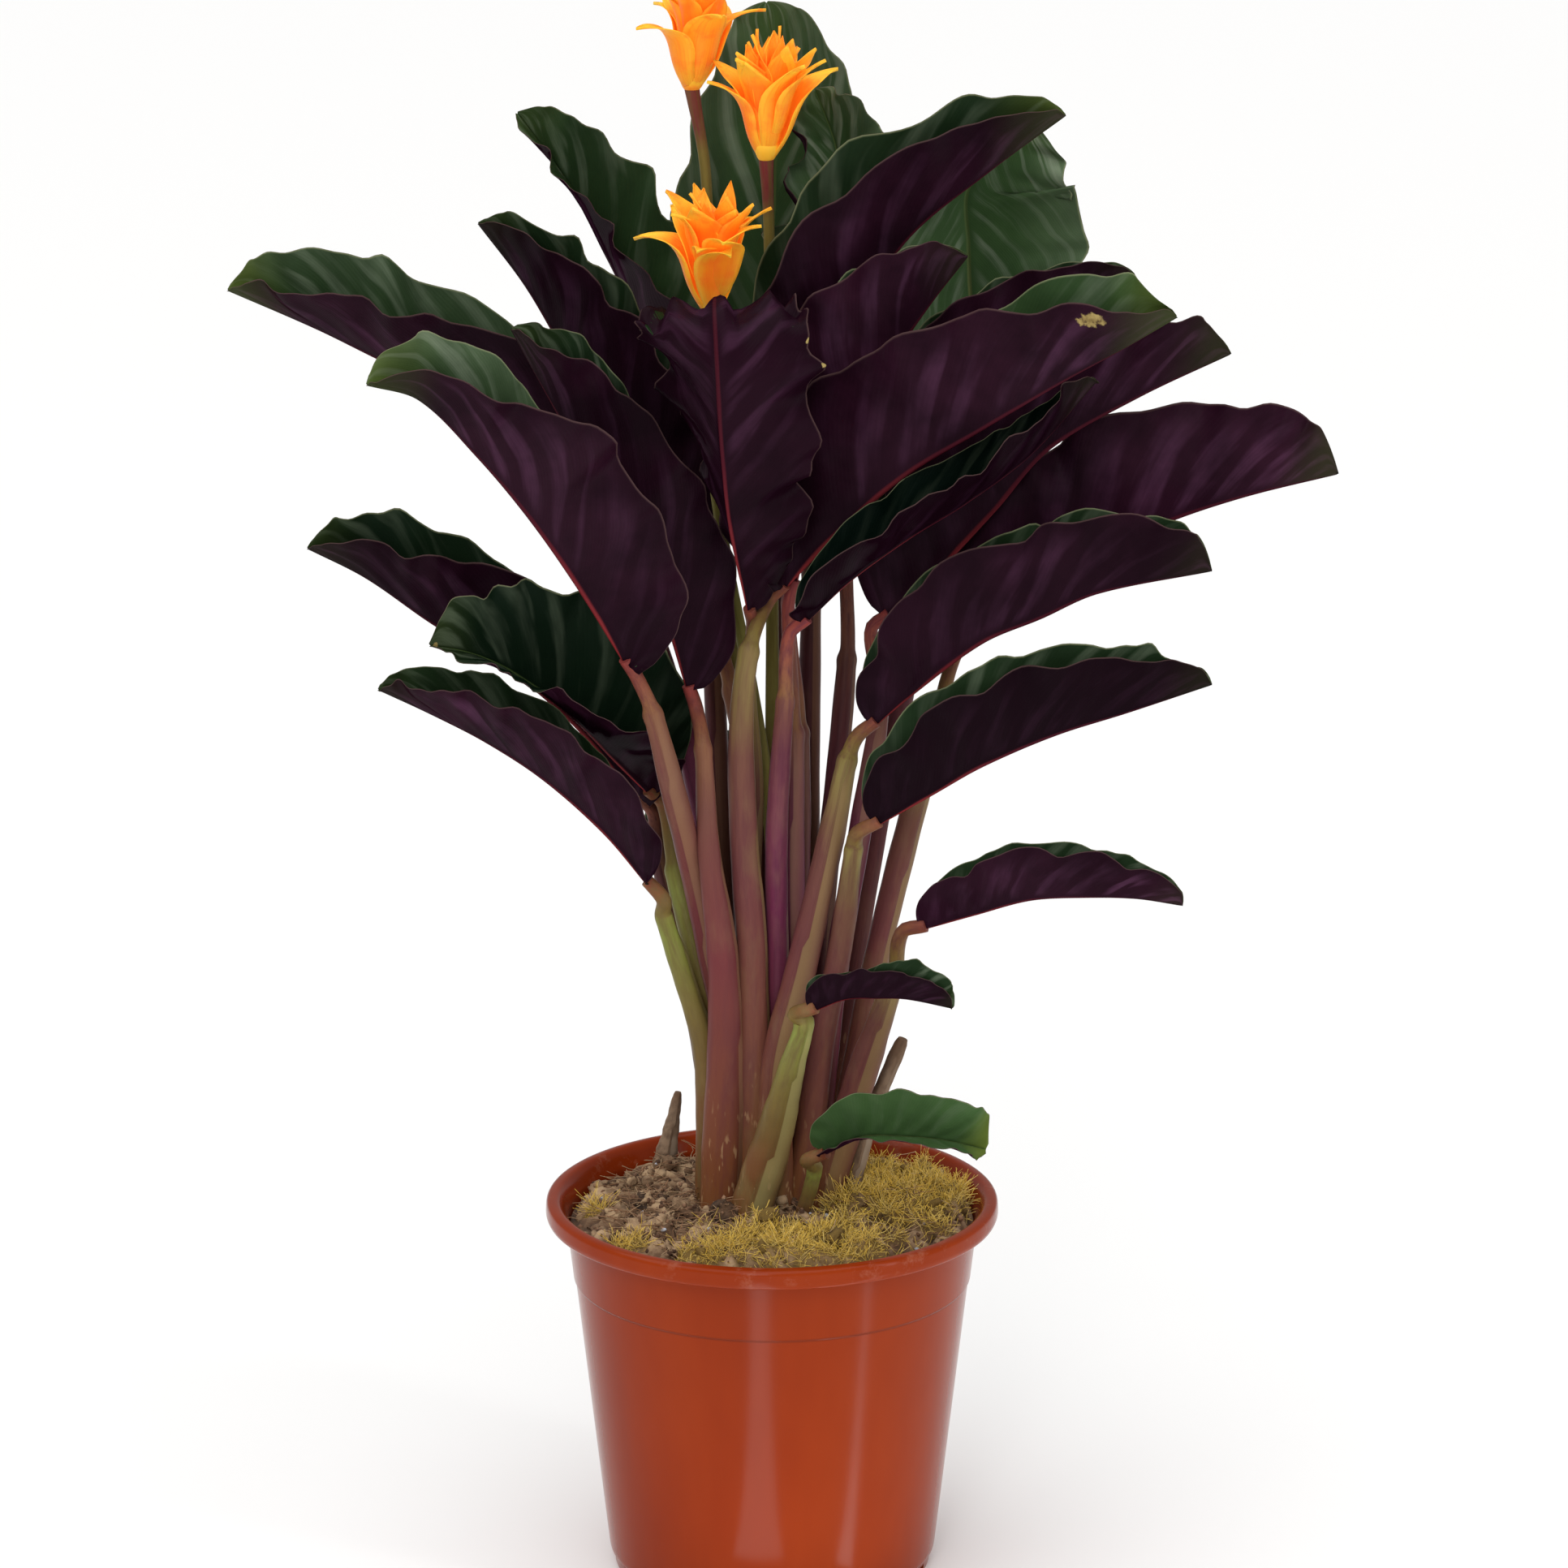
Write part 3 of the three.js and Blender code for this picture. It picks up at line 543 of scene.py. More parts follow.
clod_tree = make_clod_tree()
strand_tree = make_strand_tree()
peat = make_peat_material(
    "peat", dark=(0.012, 0.006, 0.004), middle=(0.13, 0.068, 0.034), light=(0.45, 0.30, 0.17))
crumbs = make_peat_material(
    "peat_crumbs", dark=(0.012, 0.006, 0.004), middle=(0.10, 0.045, 0.022), light=(0.31, 0.17, 0.095))
grains = make_peat_material(
    "fertiliser_grains", dark=(0.30, 0.31, 0.34), middle=(0.38, 0.39, 0.43), light=(0.46, 0.47, 0.52))
coir = make_fibre_material("coir_fibre", root=(0.10, 0.045, 0.02), tip=(0.30, 0.15, 0.07),
                           pale=(0.62, 0.44, 0.25), roughness=0.7)

soil = link_piece("peat_soil", make_soil_mesh(), [peat])
grow(soil, clod_tree, cover="middle", density=3000.0, smallest=2.6 * mm, largest=5.5 * mm, roughness=1.4,
     fineness=3, seed=14, material=peat)
grow(soil, clod_tree, density=12000.0, smallest=1.2 * mm, largest=3 * mm, roughness=1.5, seed=3,
     material=peat)
grow(soil, clod_tree, density=50000.0, smallest=0.4 * mm, largest=1.3 * mm, roughness=0.6, fineness=1, seed=8,
     material=crumbs)
grow(soil, clod_tree, density=900.0, smallest=0.6 * mm, largest=1.2 * mm, roughness=0.5, seed=21,
     material=grains)
grow(soil, strand_tree, cover="middle", density=62000.0, shortest=3 * mm, longest=13 * mm,
     thickness=0.14 * mm, flattest=0.0, steepest=0.3, crinkle=7 * mm, crinkle_scale=130.0, points=6, seed=5,
     material=coir)
settle(soil)
soil.data.shade_smooth()
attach(soil, "root")
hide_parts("soil")

# ---------------------------------------------------------------------------------------------------------
# Moss
# Dried golden moss that has grown over the peat in cushions in front of the stalks and to their right.
# It holds on to the peat by itself.
# each strand runs from a dark olive root to a golden tip; the dark root is painted shade deep in the cushion
golden_moss = make_fibre_material("golden_moss", root=(0.20, 0.125, 0.02), tip=(0.80, 0.53, 0.075),
                                  pale=(0.92, 0.70, 0.24), roughness=0.75)
moss = link_piece("golden_moss", make_soil_mesh(), [])
grow(moss, strand_tree, cover="moss", density=1150000.0, shortest=2 * mm, longest=7.5 * mm,
     thickness=0.1 * mm, flattest=0.0, steepest=1.2, crinkle=4.5 * mm, crinkle_scale=260.0, points=4,
     keep_surface=False, seed=12, material=golden_moss)
settle(moss)
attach(moss, "root")

# ---------------------------------------------------------------------------------------------------------
# Blades
# Twenty-five leaf blades, each half folded up round its rib: dark green above, purple with paler feather
# bands below that are partly painted sheen, with wavy margins. Each is a skin 0.4 mm thick that grows on from
# its stalk.

# half: length of the longest veins in mm. rib: points from the stalk to the tip in mm. stalk: points of the
# stalk from its foot to its knob. girth: radii of the stalk along it. over: the rib bends over the top.
# left and right: the turn of each half round the rib at the base, the middle and the tip (0 left, 90 to the
# front, 180 right); the upper side is in the angle between them. veins: angle between vein and rib there.
# cup: how far the left and the right half curl. share, widest, taper: their width, widest place and
# slenderness.
USUAL_LEAF = dict(veins=(112, 68, 40), share=(1, 1), widest=(0.44, 0.44), taper=(1.22, 1.22), over=False,
                  cup=((15, 15, 15), (15, 15, 15)), girth=(3.3, 3.7, 3.9, 3.6, 2.2))
LEAVES = [
    dict(name="front_centre", half=38, over=True,
         rib=[(-8, -9, 372), (-15, -38, 412), (-18, -51, 447), (-19, -56, 470), (-20, -50, 488),
              (-20, -34, 492), (-20, -16, 480)],
         stalk=[(-5, 10, 140), (-8, 7, 261), (-7, 4, 305), (-9, 1, 343)],
         left=(-82, -50, 16), right=(-172, -172, -184), veins=(100, 78, 80), share=(0.95, 1),
         widest=(0.58, 0.58), taper=(1.1, 1.1)),
    dict(name="left_outer", half=37,
         rib=[(-61, 2, 410), (-82, -4, 437), (-105, -12, 453), (-131, -20, 463), (-162, -29, 480),
              (-192, -37, 495)],
         stalk=[(-14, 20, 140), (-16, 22, 196), (-19, 24, 240), (-26, 24, 287), (-37, 18, 336),
                (-50, 9, 381)],
         left=(194, 190, 185), right=(160, 135, 116), share=(1.05, 1), widest=(0.56, 0.44),
         taper=(1.8, 1.22)),
    dict(name="left_big", half=40,
         rib=[(-52, -38, 360), (-68, -51, 390), (-85, -66, 419), (-103, -81, 445), (-122, -93, 467),
              (-139, -98, 473)],
         stalk=[(-13, 9, 140), (-15, 8, 200), (-22, 5, 236), (-29, -6, 274), (-36, -26, 310),
                (-43, -36, 341)],
         left=(200, 200, 186), right=(174, 163, 112), widest=(0.56, 0.38), taper=(1.7, 1.22),
         girth=(3.4, 4.2, 4.4, 4.2, 2.8)),
    dict(name="left_inner", half=36,
         rib=[(-30, -6, 342), (-40, -10, 375), (-54, -18, 408), (-73, -28, 443), (-92, -38, 481)],
         stalk=[(-19, 0, 140), (-17, -3, 194), (-18, -7, 240), (-23, -13, 283), (-25, -18, 323)],
         left=(205, 202, 185), right=(183, 172, 122), veins=(98, 68, 40), share=(1, 0.9),
         widest=(0.52, 0.4), taper=(1.5, 1.22), girth=(4.2, 5, 5, 3.4, 2.6)),
    dict(name="upper_left", half=38,
         rib=[(-30, 26.4, 380), (-47, 24.4, 411), (-63, 21, 439), (-76, 16, 464), (-89, 7, 489),
              (-105, -3, 513)],
         stalk=[(-7, 18, 140), (-6, 20, 288), (-15, 22, 335)],
         left=(190, 187, 185), right=(168, 151, 130), taper=(1.25, 1.25)),
    dict(name="back_left", half=40,
         rib=[(-25, 54, 405), (-37, 58, 435), (-49, 60, 465), (-62, 60, 492), (-75, 57, 518), (-93, 50, 545)],
         stalk=[(-15, 30, 140), (-18, 37, 245), (-22, 46, 352)],
         left=(150, 112, 75), right=(168, 166, 165), share=(0.8, 1), cup=((5, 5, 5), (15, 15, 15))),
    dict(name="back_top", half=42,
         rib=[(3, 66, 414), (1, 78, 446), (0, 86, 482), (1, 88.7, 515), (2, 88.6, 548), (-2, 85, 581)],
         stalk=[(-1, 32, 140), (1, 39, 251), (2, 47, 313), (3, 56, 373)],
         left=(16, 12, 8), right=(166, 168, 170)),
    dict(name="back_middle", half=32,
         rib=[(18, 46, 446), (22, 50, 476), (25, 52, 503), (24, 52, 530), (16, 48, 554)],
         stalk=[(6, 30, 140), (13, 33, 253), (14, 36, 315), (15, 41, 376)],
         left=(24, 16, 16), right=(160, 160, 160)),
    dict(name="upper_right", half=44,
         rib=[(7, 14, 378), (15, 15, 425), (31, 14, 473), (48, 12, 504), (79, 8, 531), (105, 4, 551)],
         stalk=[(6, 22, 140), (10, 20, 263), (10, 19, 320)],
         left=(-3, 29, 42), right=(-18, -8, 0), veins=(90, 68, 40), share=(0.97, 1.1), taper=(1.4, 1.3)),
    dict(name="back_right", half=46,
         rib=[(77, 66, 451), (74, 70, 472), (73, 73, 493), (73, 73, 514), (93, 70, 542)],
         stalk=[(19, 23, 140), (37, 36, 263), (62, 55, 388)],
         left=(26, 24, 22), right=(168, 168, 160), veins=(112, 80, 56), share=(0.8, 1)),
    dict(name="right_inner", half=44,
         rib=[(8, 0, 380), (16, -2, 411), (30, -3, 441), (44, -4, 465), (58, -6, 486), (70, -8, 502)],
         stalk=[(9, 15, 140), (8, 10, 266), (8, 6, 323)],
         left=(-4, -2, 3), right=(-13, -12, -12), veins=(92, 68, 40), share=(1, 0.96), widest=(0.38, 0.38),
         taper=(1.25, 1.25)),
    dict(name="right_hidden", half=34,
         rib=[(33, 26, 398), (53, 24, 423), (74, 20, 445), (94, 16, 464), (115, 12, 480), (131, 8, 492)],
         stalk=[(13, 29, 140), (19, 28, 242), (28, 27, 346)],
         left=(1, 1, 1), right=(-18, -19, -16), widest=(0.38, 0.38)),
    dict(name="right_big", half=47,
         rib=[(4, -5, 380), (20, -11, 398), (47, -24, 425), (74, -39, 445), (103, -50, 465),
              (124, -56, 478), (142, -57, 489)],
         stalk=[(-7, 2, 140), (-7, -4, 239), (-10, -8, 284), (-11, -12, 328), (-8, -14, 359)],
         left=(-5, 2, 55), right=(-17, -21, 0), veins=(92, 68, 40), widest=(0.36, 0.56), taper=(1.22, 1.7),
         girth=(3.8, 4.6, 5, 4.4, 2.8)),
    dict(name="right_second", half=44,
         rib=[(42, 4, 367), (59, 0, 384), (81, -5, 409), (100, -9, 432), (131, -15, 452), (164, -20, 469)],
         stalk=[(14, 9, 140), (24, 8, 229), (34, 6, 292), (40, 4, 336)],
         left=(-5, -4, 8), right=(-21, -26, -22)),
    dict(name="right_cupped", half=32,
         rib=[(12, -16, 370), (28, -20, 386), (50, -24, 403), (70, -26, 416), (93, -27, 434),
              (116, -25, 460)],
         stalk=[(3, 7, 140), (2, 1, 247), (2, -5, 289), (5, -12, 340)],
         left=(60, 70, 50), right=(-8, -8, 0), share=(1, 0.6)),
    dict(name="right_outer", half=47,
         rib=[(74, 4, 358), (95, 0, 375), (118, -4, 391), (141, -8, 404), (170, -12, 415), (204, -14, 424)],
         stalk=[(21, 14, 140), (36, 12, 218), (45, 10, 260), (60, 6, 323)],
         left=(0, 0, 10), right=(-35, -35, -30), taper=(1.1, 1.1), girth=(3.4, 4, 4.4, 4.4, 3)),
    dict(name="right_lower", half=35,
         rib=[(37, -18, 332), (50, -22, 344), (76, -28, 365), (97, -32, 375), (117, -36, 385),
              (157, -40, 394)],
         stalk=[(2, -1, 140), (2, -5, 195), (12, -8, 240), (24, -12, 297), (28, -14, 318)],
         left=(9, 8, 17), right=(-25, -20, -5), widest=(0.5, 0.5), girth=(3.4, 4.2, 4.8, 4.4, 2.6)),
    dict(name="right_low", half=30,
         rib=[(38, -24, 296), (58, -30, 309), (76, -36, 321), (102, -42, 334), (128, -48, 344),
              (157, -52, 355)],
         stalk=[(10, 2, 140), (18, 0, 200), (26, -8, 249), (30, -18, 285)],
         left=(8, 12, 10), right=(-20, -12, -5), share=(1, 1.15)),
    dict(name="right_small", half=21,
         rib=[(55, -32, 259), (74, -38, 266), (94, -44, 273), (114, -48, 275), (132, -50, 275),
              (148, -52, 273)],
         stalk=[(18, 0, 140), (32, -4, 188), (45, -18, 235)],
         left=(15, 15, 20), right=(-30, -20, -10), girth=(3.8, 4.6, 4.6, 3.4, 2.2)),
    dict(name="centre_small", half=16,
         rib=[(15, -36, 229), (27, -42, 235), (38, -48, 237), (49, -53, 238), (65, -58, 236)],
         stalk=[(-10, -9, 140), (0, -14, 169), (8, -26, 205), (12, -32, 223)],
         left=(7, 10, 14), right=(-17, -4, 5), share=(1, 1.2), girth=(5.2, 5.6, 4.8, 3.6, 2.2)),
    dict(name="soil_leaf", half=19,
         rib=[(19, -30, 171), (33, -38, 180), (47, -46, 183), (62, -53, 184), (78, -58, 182)],
         stalk=[(10, -9, 140), (16, -20, 162)],
         left=(10, 10, 10), right=(74, 84, 104), share=(1.2, 0.85), widest=(0.6, 0.62), taper=(0.85, 0.8),
         girth=(2.4, 2.4, 2.2)),
    dict(name="left_low", half=38,
         rib=[(-49, 19, 294), (-75, 10, 327), (-101, -2, 352), (-123, -9, 367), (-147, -16, 386),
              (-167, -22, 398)],
         stalk=[(-20, 24, 140), (-26, 23, 196), (-35, 22, 241), (-43, 20, 277)],
         left=(206, 200, 185), right=(177, 160, 120), widest=(0.58, 0.42), taper=(1.9, 1.22)),
    dict(name="left_green", half=44,
         rib=[(-45, 12, 298), (-56, 4, 311), (-74, -12, 334), (-95, -27, 354), (-108, -38, 363),
              (-122, -46, 368)],
         stalk=[(-20, 13, 140), (-22, 13, 199), (-29, 10, 237), (-36, 5, 271)],
         left=(194, 190, 185), right=(160, 110, 95), share=(1, 0.8), cup=((15, 15, 15), (5, 5, 5))),
    dict(name="left_lowest", half=32,
         rib=[(-45, -10, 269), (-61, -12, 289), (-83, -15, 310), (-104, -18, 325), (-124, -23, 337),
              (-142, -28, 347)],
         stalk=[(-25, 7, 140), (-25, 5, 198), (-33, 1, 231), (-40, -6, 256)],
         left=(204, 202, 190), right=(140, 132, 120), veins=(80, 66, 40), share=(0.8, 1),
         widest=(0.55, 0.44), taper=(1.7, 1.22)),
    dict(name="back_low", half=30,
         rib=[(-14, 52, 232), (-18, 60, 252), (-22, 65, 270), (-25, 68, 288), (-28, 69, 307)],
         stalk=[(-8, 34, 140), (-10, 39, 176), (-12, 47, 213)],
         left=(16, 16, 16), right=(168, 168, 168)),
]
for leaf in LEAVES:
    for key, value in USUAL_LEAF.items():
        leaf.setdefault(key, value)
BLADE_THICKNESS = 0.4
BLADE_STATIONS = 91
MARGIN_WAVES = 4.6
MARGIN_RUFFLES = 12.3
BLADE_FOLDS = 9
CREST_WAVES = 3.6
# where the columns of points stand: near the rib in mm, further out as shares of the rest of the half
RIB_COLUMNS = np.array([0.42, 0.8, 1.15])
BLADE_COLUMNS = np.array([0.05, 0.12, 0.22, 0.33, 0.45, 0.57, 0.68, 0.78, 0.87, 0.94, 0.985, 1.0])


def for_each_leaf(usual, **others):
    """The usual value for every leaf, apart from the leaves that are named."""
    return {leaf["name"]: others.get(leaf["name"], usual) for leaf in LEAVES}


# depth of the margin's waves in mm
WAVES = for_each_leaf(
    2.2, front_centre=3.8, left_big=2.8, left_outer=2.6, right_outer=2.6, right_big=2.6, right_second=2.6,
    back_middle=3.6, back_left=3.0, back_top=1.2, soil_leaf=1.0, centre_small=1.4, right_small=1.4,
    right_inner=1.6)
# how far the bands run on towards the tip between rib and margin, as a share of the length
LEANS = for_each_leaf(
    0.15, left_big=0.28, left_inner=0.28, left_outer=0.2, left_low=0.2, left_lowest=0.2, upper_left=0.2,
    soil_leaf=0.05, centre_small=0.1, right_small=0.1, back_right=-0.5, back_top=0.3)
# waves of the outline as a share of the width
OUTLINE_WAVES = for_each_leaf(
    0.035, back_middle=0.11, back_left=0.08, back_right=0.025, back_top=0.04, front_centre=0.06,
    left_green=0.03, soil_leaf=0.03, right_second=0.06, upper_left=0.06)
# how light the purple of the underside is: partly its own tone, partly a painted sheen; right_cupped's is
# kept dark as painted shade, for it lies in the shade under right_big
PALENESS_AND_SHEEN = for_each_leaf(
    0.5, right_cupped=0.1, upper_left=0.35, back_left=0.3, right_big=0.58, right_outer=0.6, right_lower=0.35,
    left_inner=0.4, left_big=0.45, left_outer=0.45, left_low=0.35, left_lowest=0.6, right_inner=0.8,
    right_low=0.05, upper_right=0.45, centre_small=0.2, front_centre=0.3, soil_leaf=0.7, left_green=0.3)
# how light the green of the upper side is; right_cupped's is near black, painted shade for the shade it lies
# in under right_big
GREENNESS = for_each_leaf(
    0.2, left_big=0.6, left_outer=0.4, back_top=0.65, back_middle=0.65, back_right=0.7, back_left=0.4,
    soil_leaf=1.0, right_big=0.6, right_cupped=0.0, left_green=0.06, right_outer=0.3, left_low=0.1)
# how clear the silvery bands of the upper side are, and how clear the painted sheen towards the margin;
# right_cupped's are nearly gone, as part of its painted shade
BANDING = for_each_leaf(
    0.35, back_right=1.0, back_middle=0.9, back_top=0.8, left_big=0.9, left_outer=0.6, soil_leaf=0.08,
    left_green=0.2, left_low=0.2, back_left=0.4, right_cupped=0.03)
# how yellow green the tip is
GREEN_TIPS = for_each_leaf(
    0.12, right_big=0.6, right_second=0.25, left_outer=0.6, right_outer=0.3, left_big=0.5, upper_right=0.4,
    soil_leaf=0.9)
# notches (or, below nothing, lobes) in the outline: the half (0 left, 1 right), place and length along the
# blade, and depth as a share of the width
NOTCHES = for_each_leaf(
    [],
    left_big=[(1, 0.64, 0.04, 0.12), (1, 0.51, 0.08, -0.18), (0, 0.42, 0.2, 0.4)],
    left_inner=[(0, 0.45, 0.22, 0.3), (1, 0.72, 0.14, -0.16), (1, 0.9, 0.03, 0.15)],
    left_outer=[(1, 0.42, 0.1, 0.1), (0, 0.35, 0.12, 0.15)],
    left_low=[(0, 0.35, 0.15, 0.25), (1, 0.75, 0.06, 0.1)],
    right_big=[(1, 0.42, 0.24, 0.3), (0, 0.9, 0.03, 0.08), (0, 0.56, 0.05, -0.05)],
    right_second=[(0, 0.2, 0.03, 0.2), (0, 0.36, 0.03, 0.14), (1, 0.85, 0.12, 0.3)],
    right_outer=[(0, 0.3, 0.04, 0.1), (0, 0.62, 0.05, 0.06), (1, 0.6, 0.3, 0.2)],
    right_low=[(0, 0.2, 0.04, 0.16), (0, 0.4, 0.03, 0.08), (1, 0.9, 0.06, 0.3)],
    right_lower=[(0, 0.15, 0.04, 0.16), (0, 0.5, 0.03, 0.1)],
    right_small=[(0, 0.24, 0.04, 0.22), (0, 0.5, 0.04, 0.14), (0, 0.72, 0.04, 0.18)],
    centre_small=[(0, 0.42, 0.4, 0.3), (0, 0.3, 0.05, 0.15), (1, 0.32, 0.22, 0.5)],
    upper_right=[(0, 0.6, 0.05, 0.07), (1, 0.1, 0.34, 0.3), (1, 0.7, 0.04, 0.06)],
    back_middle=[(0, 0.45, 0.05, 0.1), (0, 0.68, 0.05, 0.12)],
)
# margins that are rolled over: the half, place and length along the blade, turn in degrees, and where across
# the half the roll starts
ROLLS = for_each_leaf(
    [], left_inner=[(0, 0.93, 0.06, -60, 0.5)], right_big=[(1, 0.98, 0.07, 110, 0.45)],
    back_middle=[(0, 0.6, 0.2, 80, 0.6)])
# withered spots: their place along the leaf and across it (0 to 1), and their length and width
DRY_SPOTS = for_each_leaf(
    [], right_big=[(0.80, 0.11, 0.045, 0.075)], left_green=[(0.985, 0.5, 0.012, 0.2)],
    front_centre=[(0.60, 0.995, 0.012, 0.02), (0.66, 0.995, 0.010, 0.02)])


def unit(v):
    return v / np.linalg.norm(v, axis=-1, keepdims=True)


def smooth_route(points):
    """A smooth curve through points as a function of t, the share of the length along the chords."""
    p = np.array(points, float)
    chords = np.linalg.norm(np.diff(p, axis=0), axis=1)
    at = np.concatenate([[0], np.cumsum(chords)])
    ahead = np.minimum(np.arange(len(p)) + 1, len(p) - 1)
    behind = np.maximum(np.arange(len(p)) - 1, 0)
    slopes = (p[ahead] - p[behind]) / (at[ahead] - at[behind])[:, None]

    def route(t):
        s = np.asarray(t) * at[-1]
        i = np.clip(np.searchsorted(at, s, side="right") - 1, 0, len(p) - 2)
        d = chords[i][:, None]
        u = ((s - at[i]) / chords[i])[:, None]
        w = u - 1
        return ((1 + 2 * u) * w * w * p[i] + u * w * w * d * slopes[i]
                + u * u * (3 - 2 * u) * p[i + 1] + u * u * w * d * slopes[i + 1])
    return route, at[-1]


def heading(route, t):
    return unit(route(np.minimum(t + 0.002, 1)) - route(np.maximum(t - 0.002, 0)))


def bow(values, t):
    """The curve through three values at 0, a half and 1."""
    a, b, c = values
    return a * (1 - t) * (1 - 2 * t) + 4 * b * t * (1 - t) + c * t * (2 * t - 1)


def half_width(leaf, side, t):
    """The length of a half's veins in mm, from the rib to the margin."""
    widest, taper = leaf["widest"][side], leaf["taper"][side]
    s = np.clip(t, 1e-4, 1 - 1e-4)
    width = (s / widest) ** (taper * widest) * ((1 - s) / (1 - widest)) ** (taper * (1 - widest))
    return leaf["half"] * leaf["share"][side] * width + 0.8


def half_turns(leaf, t):
    """The turn of both halves round the rib in degrees, opened a little where the blade is narrow."""
    left, right = bow(leaf["left"], t), bow(leaf["right"], t)
    narrow = np.minimum(half_width(leaf, 0, t), half_width(leaf, 1, t))
    least = np.degrees(2 * np.arcsin(np.minimum(1, 2.16 / narrow)))
    spread = np.maximum(0, least - np.abs(left - right)) / 2
    way = np.sign(right - left)
    return left - way * spread, right + way * spread


def half_blade(leaf, route, reach, t, side, phase):
    """The points, normals and places across of one half, station by station, from the rib to the margin."""
    name = leaf["name"]
    along = heading(route, t)
    right = unit(np.cross((0, 1, 0), along))
    if leaf["over"]:
        right = unit(np.array((1, 0, 0)) - along[:, :1] * along)
    front = np.cross(right, along)
    width = half_width(leaf, side, t)
    vein = np.radians(bow(leaf["veins"], t))
    ahead = np.minimum(np.cos(vein), (0.8 * (1 - t) * reach + 0.8) / width)
    aside = np.sqrt(1 - ahead ** 2)
    turns = half_turns(leaf, t)
    wedge = turns[1 - side] - turns[side]
    cup = np.minimum(bow(leaf["cup"][side], t), 0.35 * np.abs(wedge))
    start = np.radians(turns[side])[:, None]
    bend = np.radians(np.sign(wedge) * np.maximum(cup, 0.01))[:, None]
    # where a blade is narrow it waves less
    fullness = np.minimum(1, width / 24)
    swing = 2 * math.pi * MARGIN_WAVES * t + phase
    wave = 0.75 * np.sin(swing) + 0.4 * np.sin(1.83 * swing + 2 * phase) + 0.2 * np.sin(3.1 * swing + phase)
    ruffle = np.sin(2 * math.pi * MARGIN_RUFFLES * t + 3 * phase)
    ruffle = ruffle * (0.5 + 0.5 * np.sin(2 * math.pi * 3.1 * t + phase)) * 1.3
    outline = OUTLINE_WAVES[name]
    width = width * (1 - outline + outline * (np.cos(1.3 * swing + 0.6) + 0.4 * ruffle) * fullness)
    for half, place, long, deep in NOTCHES[name]:
        if half == side:
            width = width * (1 - deep * np.exp(-((t - place) / long) ** 2))
    t, width = t[:, None], width[:, None]
    ridge = np.minimum(1, width / 5) * (1 - 0.5 * t)
    near = RIB_COLUMNS[None, :] * ridge
    far = near[:, -1:] + (width - near[:, -1:]) * BLADE_COLUMNS[None, :]
    distance = np.concatenate([np.zeros_like(width), near, far], axis=1)
    v = distance / width
    angle = start + bend * v
    for half, place, long, turn, begin in ROLLS[name]:
        if half == side:
            rolled = np.clip((v - begin) / (1 - begin), 0, 1) ** 1.3
            angle = angle + math.radians(turn) * np.exp(-((t - place) / long) ** 4) * rolled
    # each step outwards follows the turn of the surface there
    steps = np.diff(v, axis=1)
    between = (angle[:, 1:] + angle[:, :-1]) / 2
    across = np.pad(np.cumsum(-np.cos(between) * steps, axis=1), ((0, 0), (1, 0)))
    outward = np.pad(np.cumsum(np.sin(between) * steps, axis=1), ((0, 0), (1, 0)))
    place = (route(t[:, 0])[:, None, :] + (width * aside[:, None])[..., None]
             * (across[..., None] * right[:, None, :] + outward[..., None] * front[:, None, :])
             + (distance * ahead[:, None])[..., None] * along[:, None, :])
    sign = 1 if side == 0 else -1
    normal = np.sin(angle)[..., None] * right[:, None, :] + np.cos(angle)[..., None] * front[:, None, :]
    normal = sign * normal
    lift = (WAVES[name] * wave * fullness)[:, None] * v ** 2.2
    lift = lift + (0.3 * WAVES[name] * ruffle * fullness)[:, None] * v ** 4
    folds = np.sin(2 * math.pi * (BLADE_FOLDS * (t - LEANS[name] * v) + 0.3 * np.sin(4 * v + phase)))
    lift = lift + 0.4 * folds * fullness[:, None] * np.clip(v * 5, 0, 1) * np.clip((1 - v) * 2.5, 0, 1)
    return place + lift[..., None] * normal, normal, v


def closed_skin(name, first_side, second_side, t, v, slots):
    """A smooth closed skin between two grids of points in mm, with t and v as its UV map. slots are the
    material slots of its first side, its second side and its rim."""
    rows, columns = v.shape
    under = rows * columns
    i, j = np.meshgrid(np.arange(rows - 1), np.arange(columns - 1), indexing="ij")
    a = (i * columns + j).ravel()
    first = np.stack([a, a + 1, a + columns + 1, a + columns], axis=1)
    loop = list(range(columns)) + [k * columns + columns - 1 for k in range(1, rows)]
    loop += [(rows - 1) * columns + k for k in range(columns - 2, -1, -1)]
    loop += [k * columns for k in range(rows - 2, 0, -1)]
    rim = np.array([(b, a, under + a, under + b) for a, b in zip(loop, loop[1:] + loop[:1])])
    faces = np.concatenate([first, first[:, ::-1] + under, rim])
    points = np.concatenate([first_side.reshape(-1, 3), second_side.reshape(-1, 3)])
    mesh = bpy.data.meshes.new(name)
    mesh.from_pydata((points * mm).tolist(), [], faces.tolist())
    uv = np.stack([np.broadcast_to(t[:, None], v.shape), v], axis=-1).reshape(-1, 2)
    layer = mesh.uv_layers.new(name="UVMap")
    layer.data.foreach_set("uv", np.concatenate([uv, uv])[faces.ravel()].ravel())
    mesh.polygons.foreach_set("material_index", np.repeat(slots, (len(first), len(first), len(rim))))
    mesh.shade_smooth()
    mesh.update()
    return mesh


def store_values(mesh, **values):
    """Gives a mesh point attributes for its material to read, each from one number or one for each point."""
    for name, value in values.items():
        layer = mesh.attributes.new(name, "FLOAT", "POINT")
        layer.data.foreach_set("value", np.broadcast_to(value, len(mesh.vertices)).astype(np.float32))


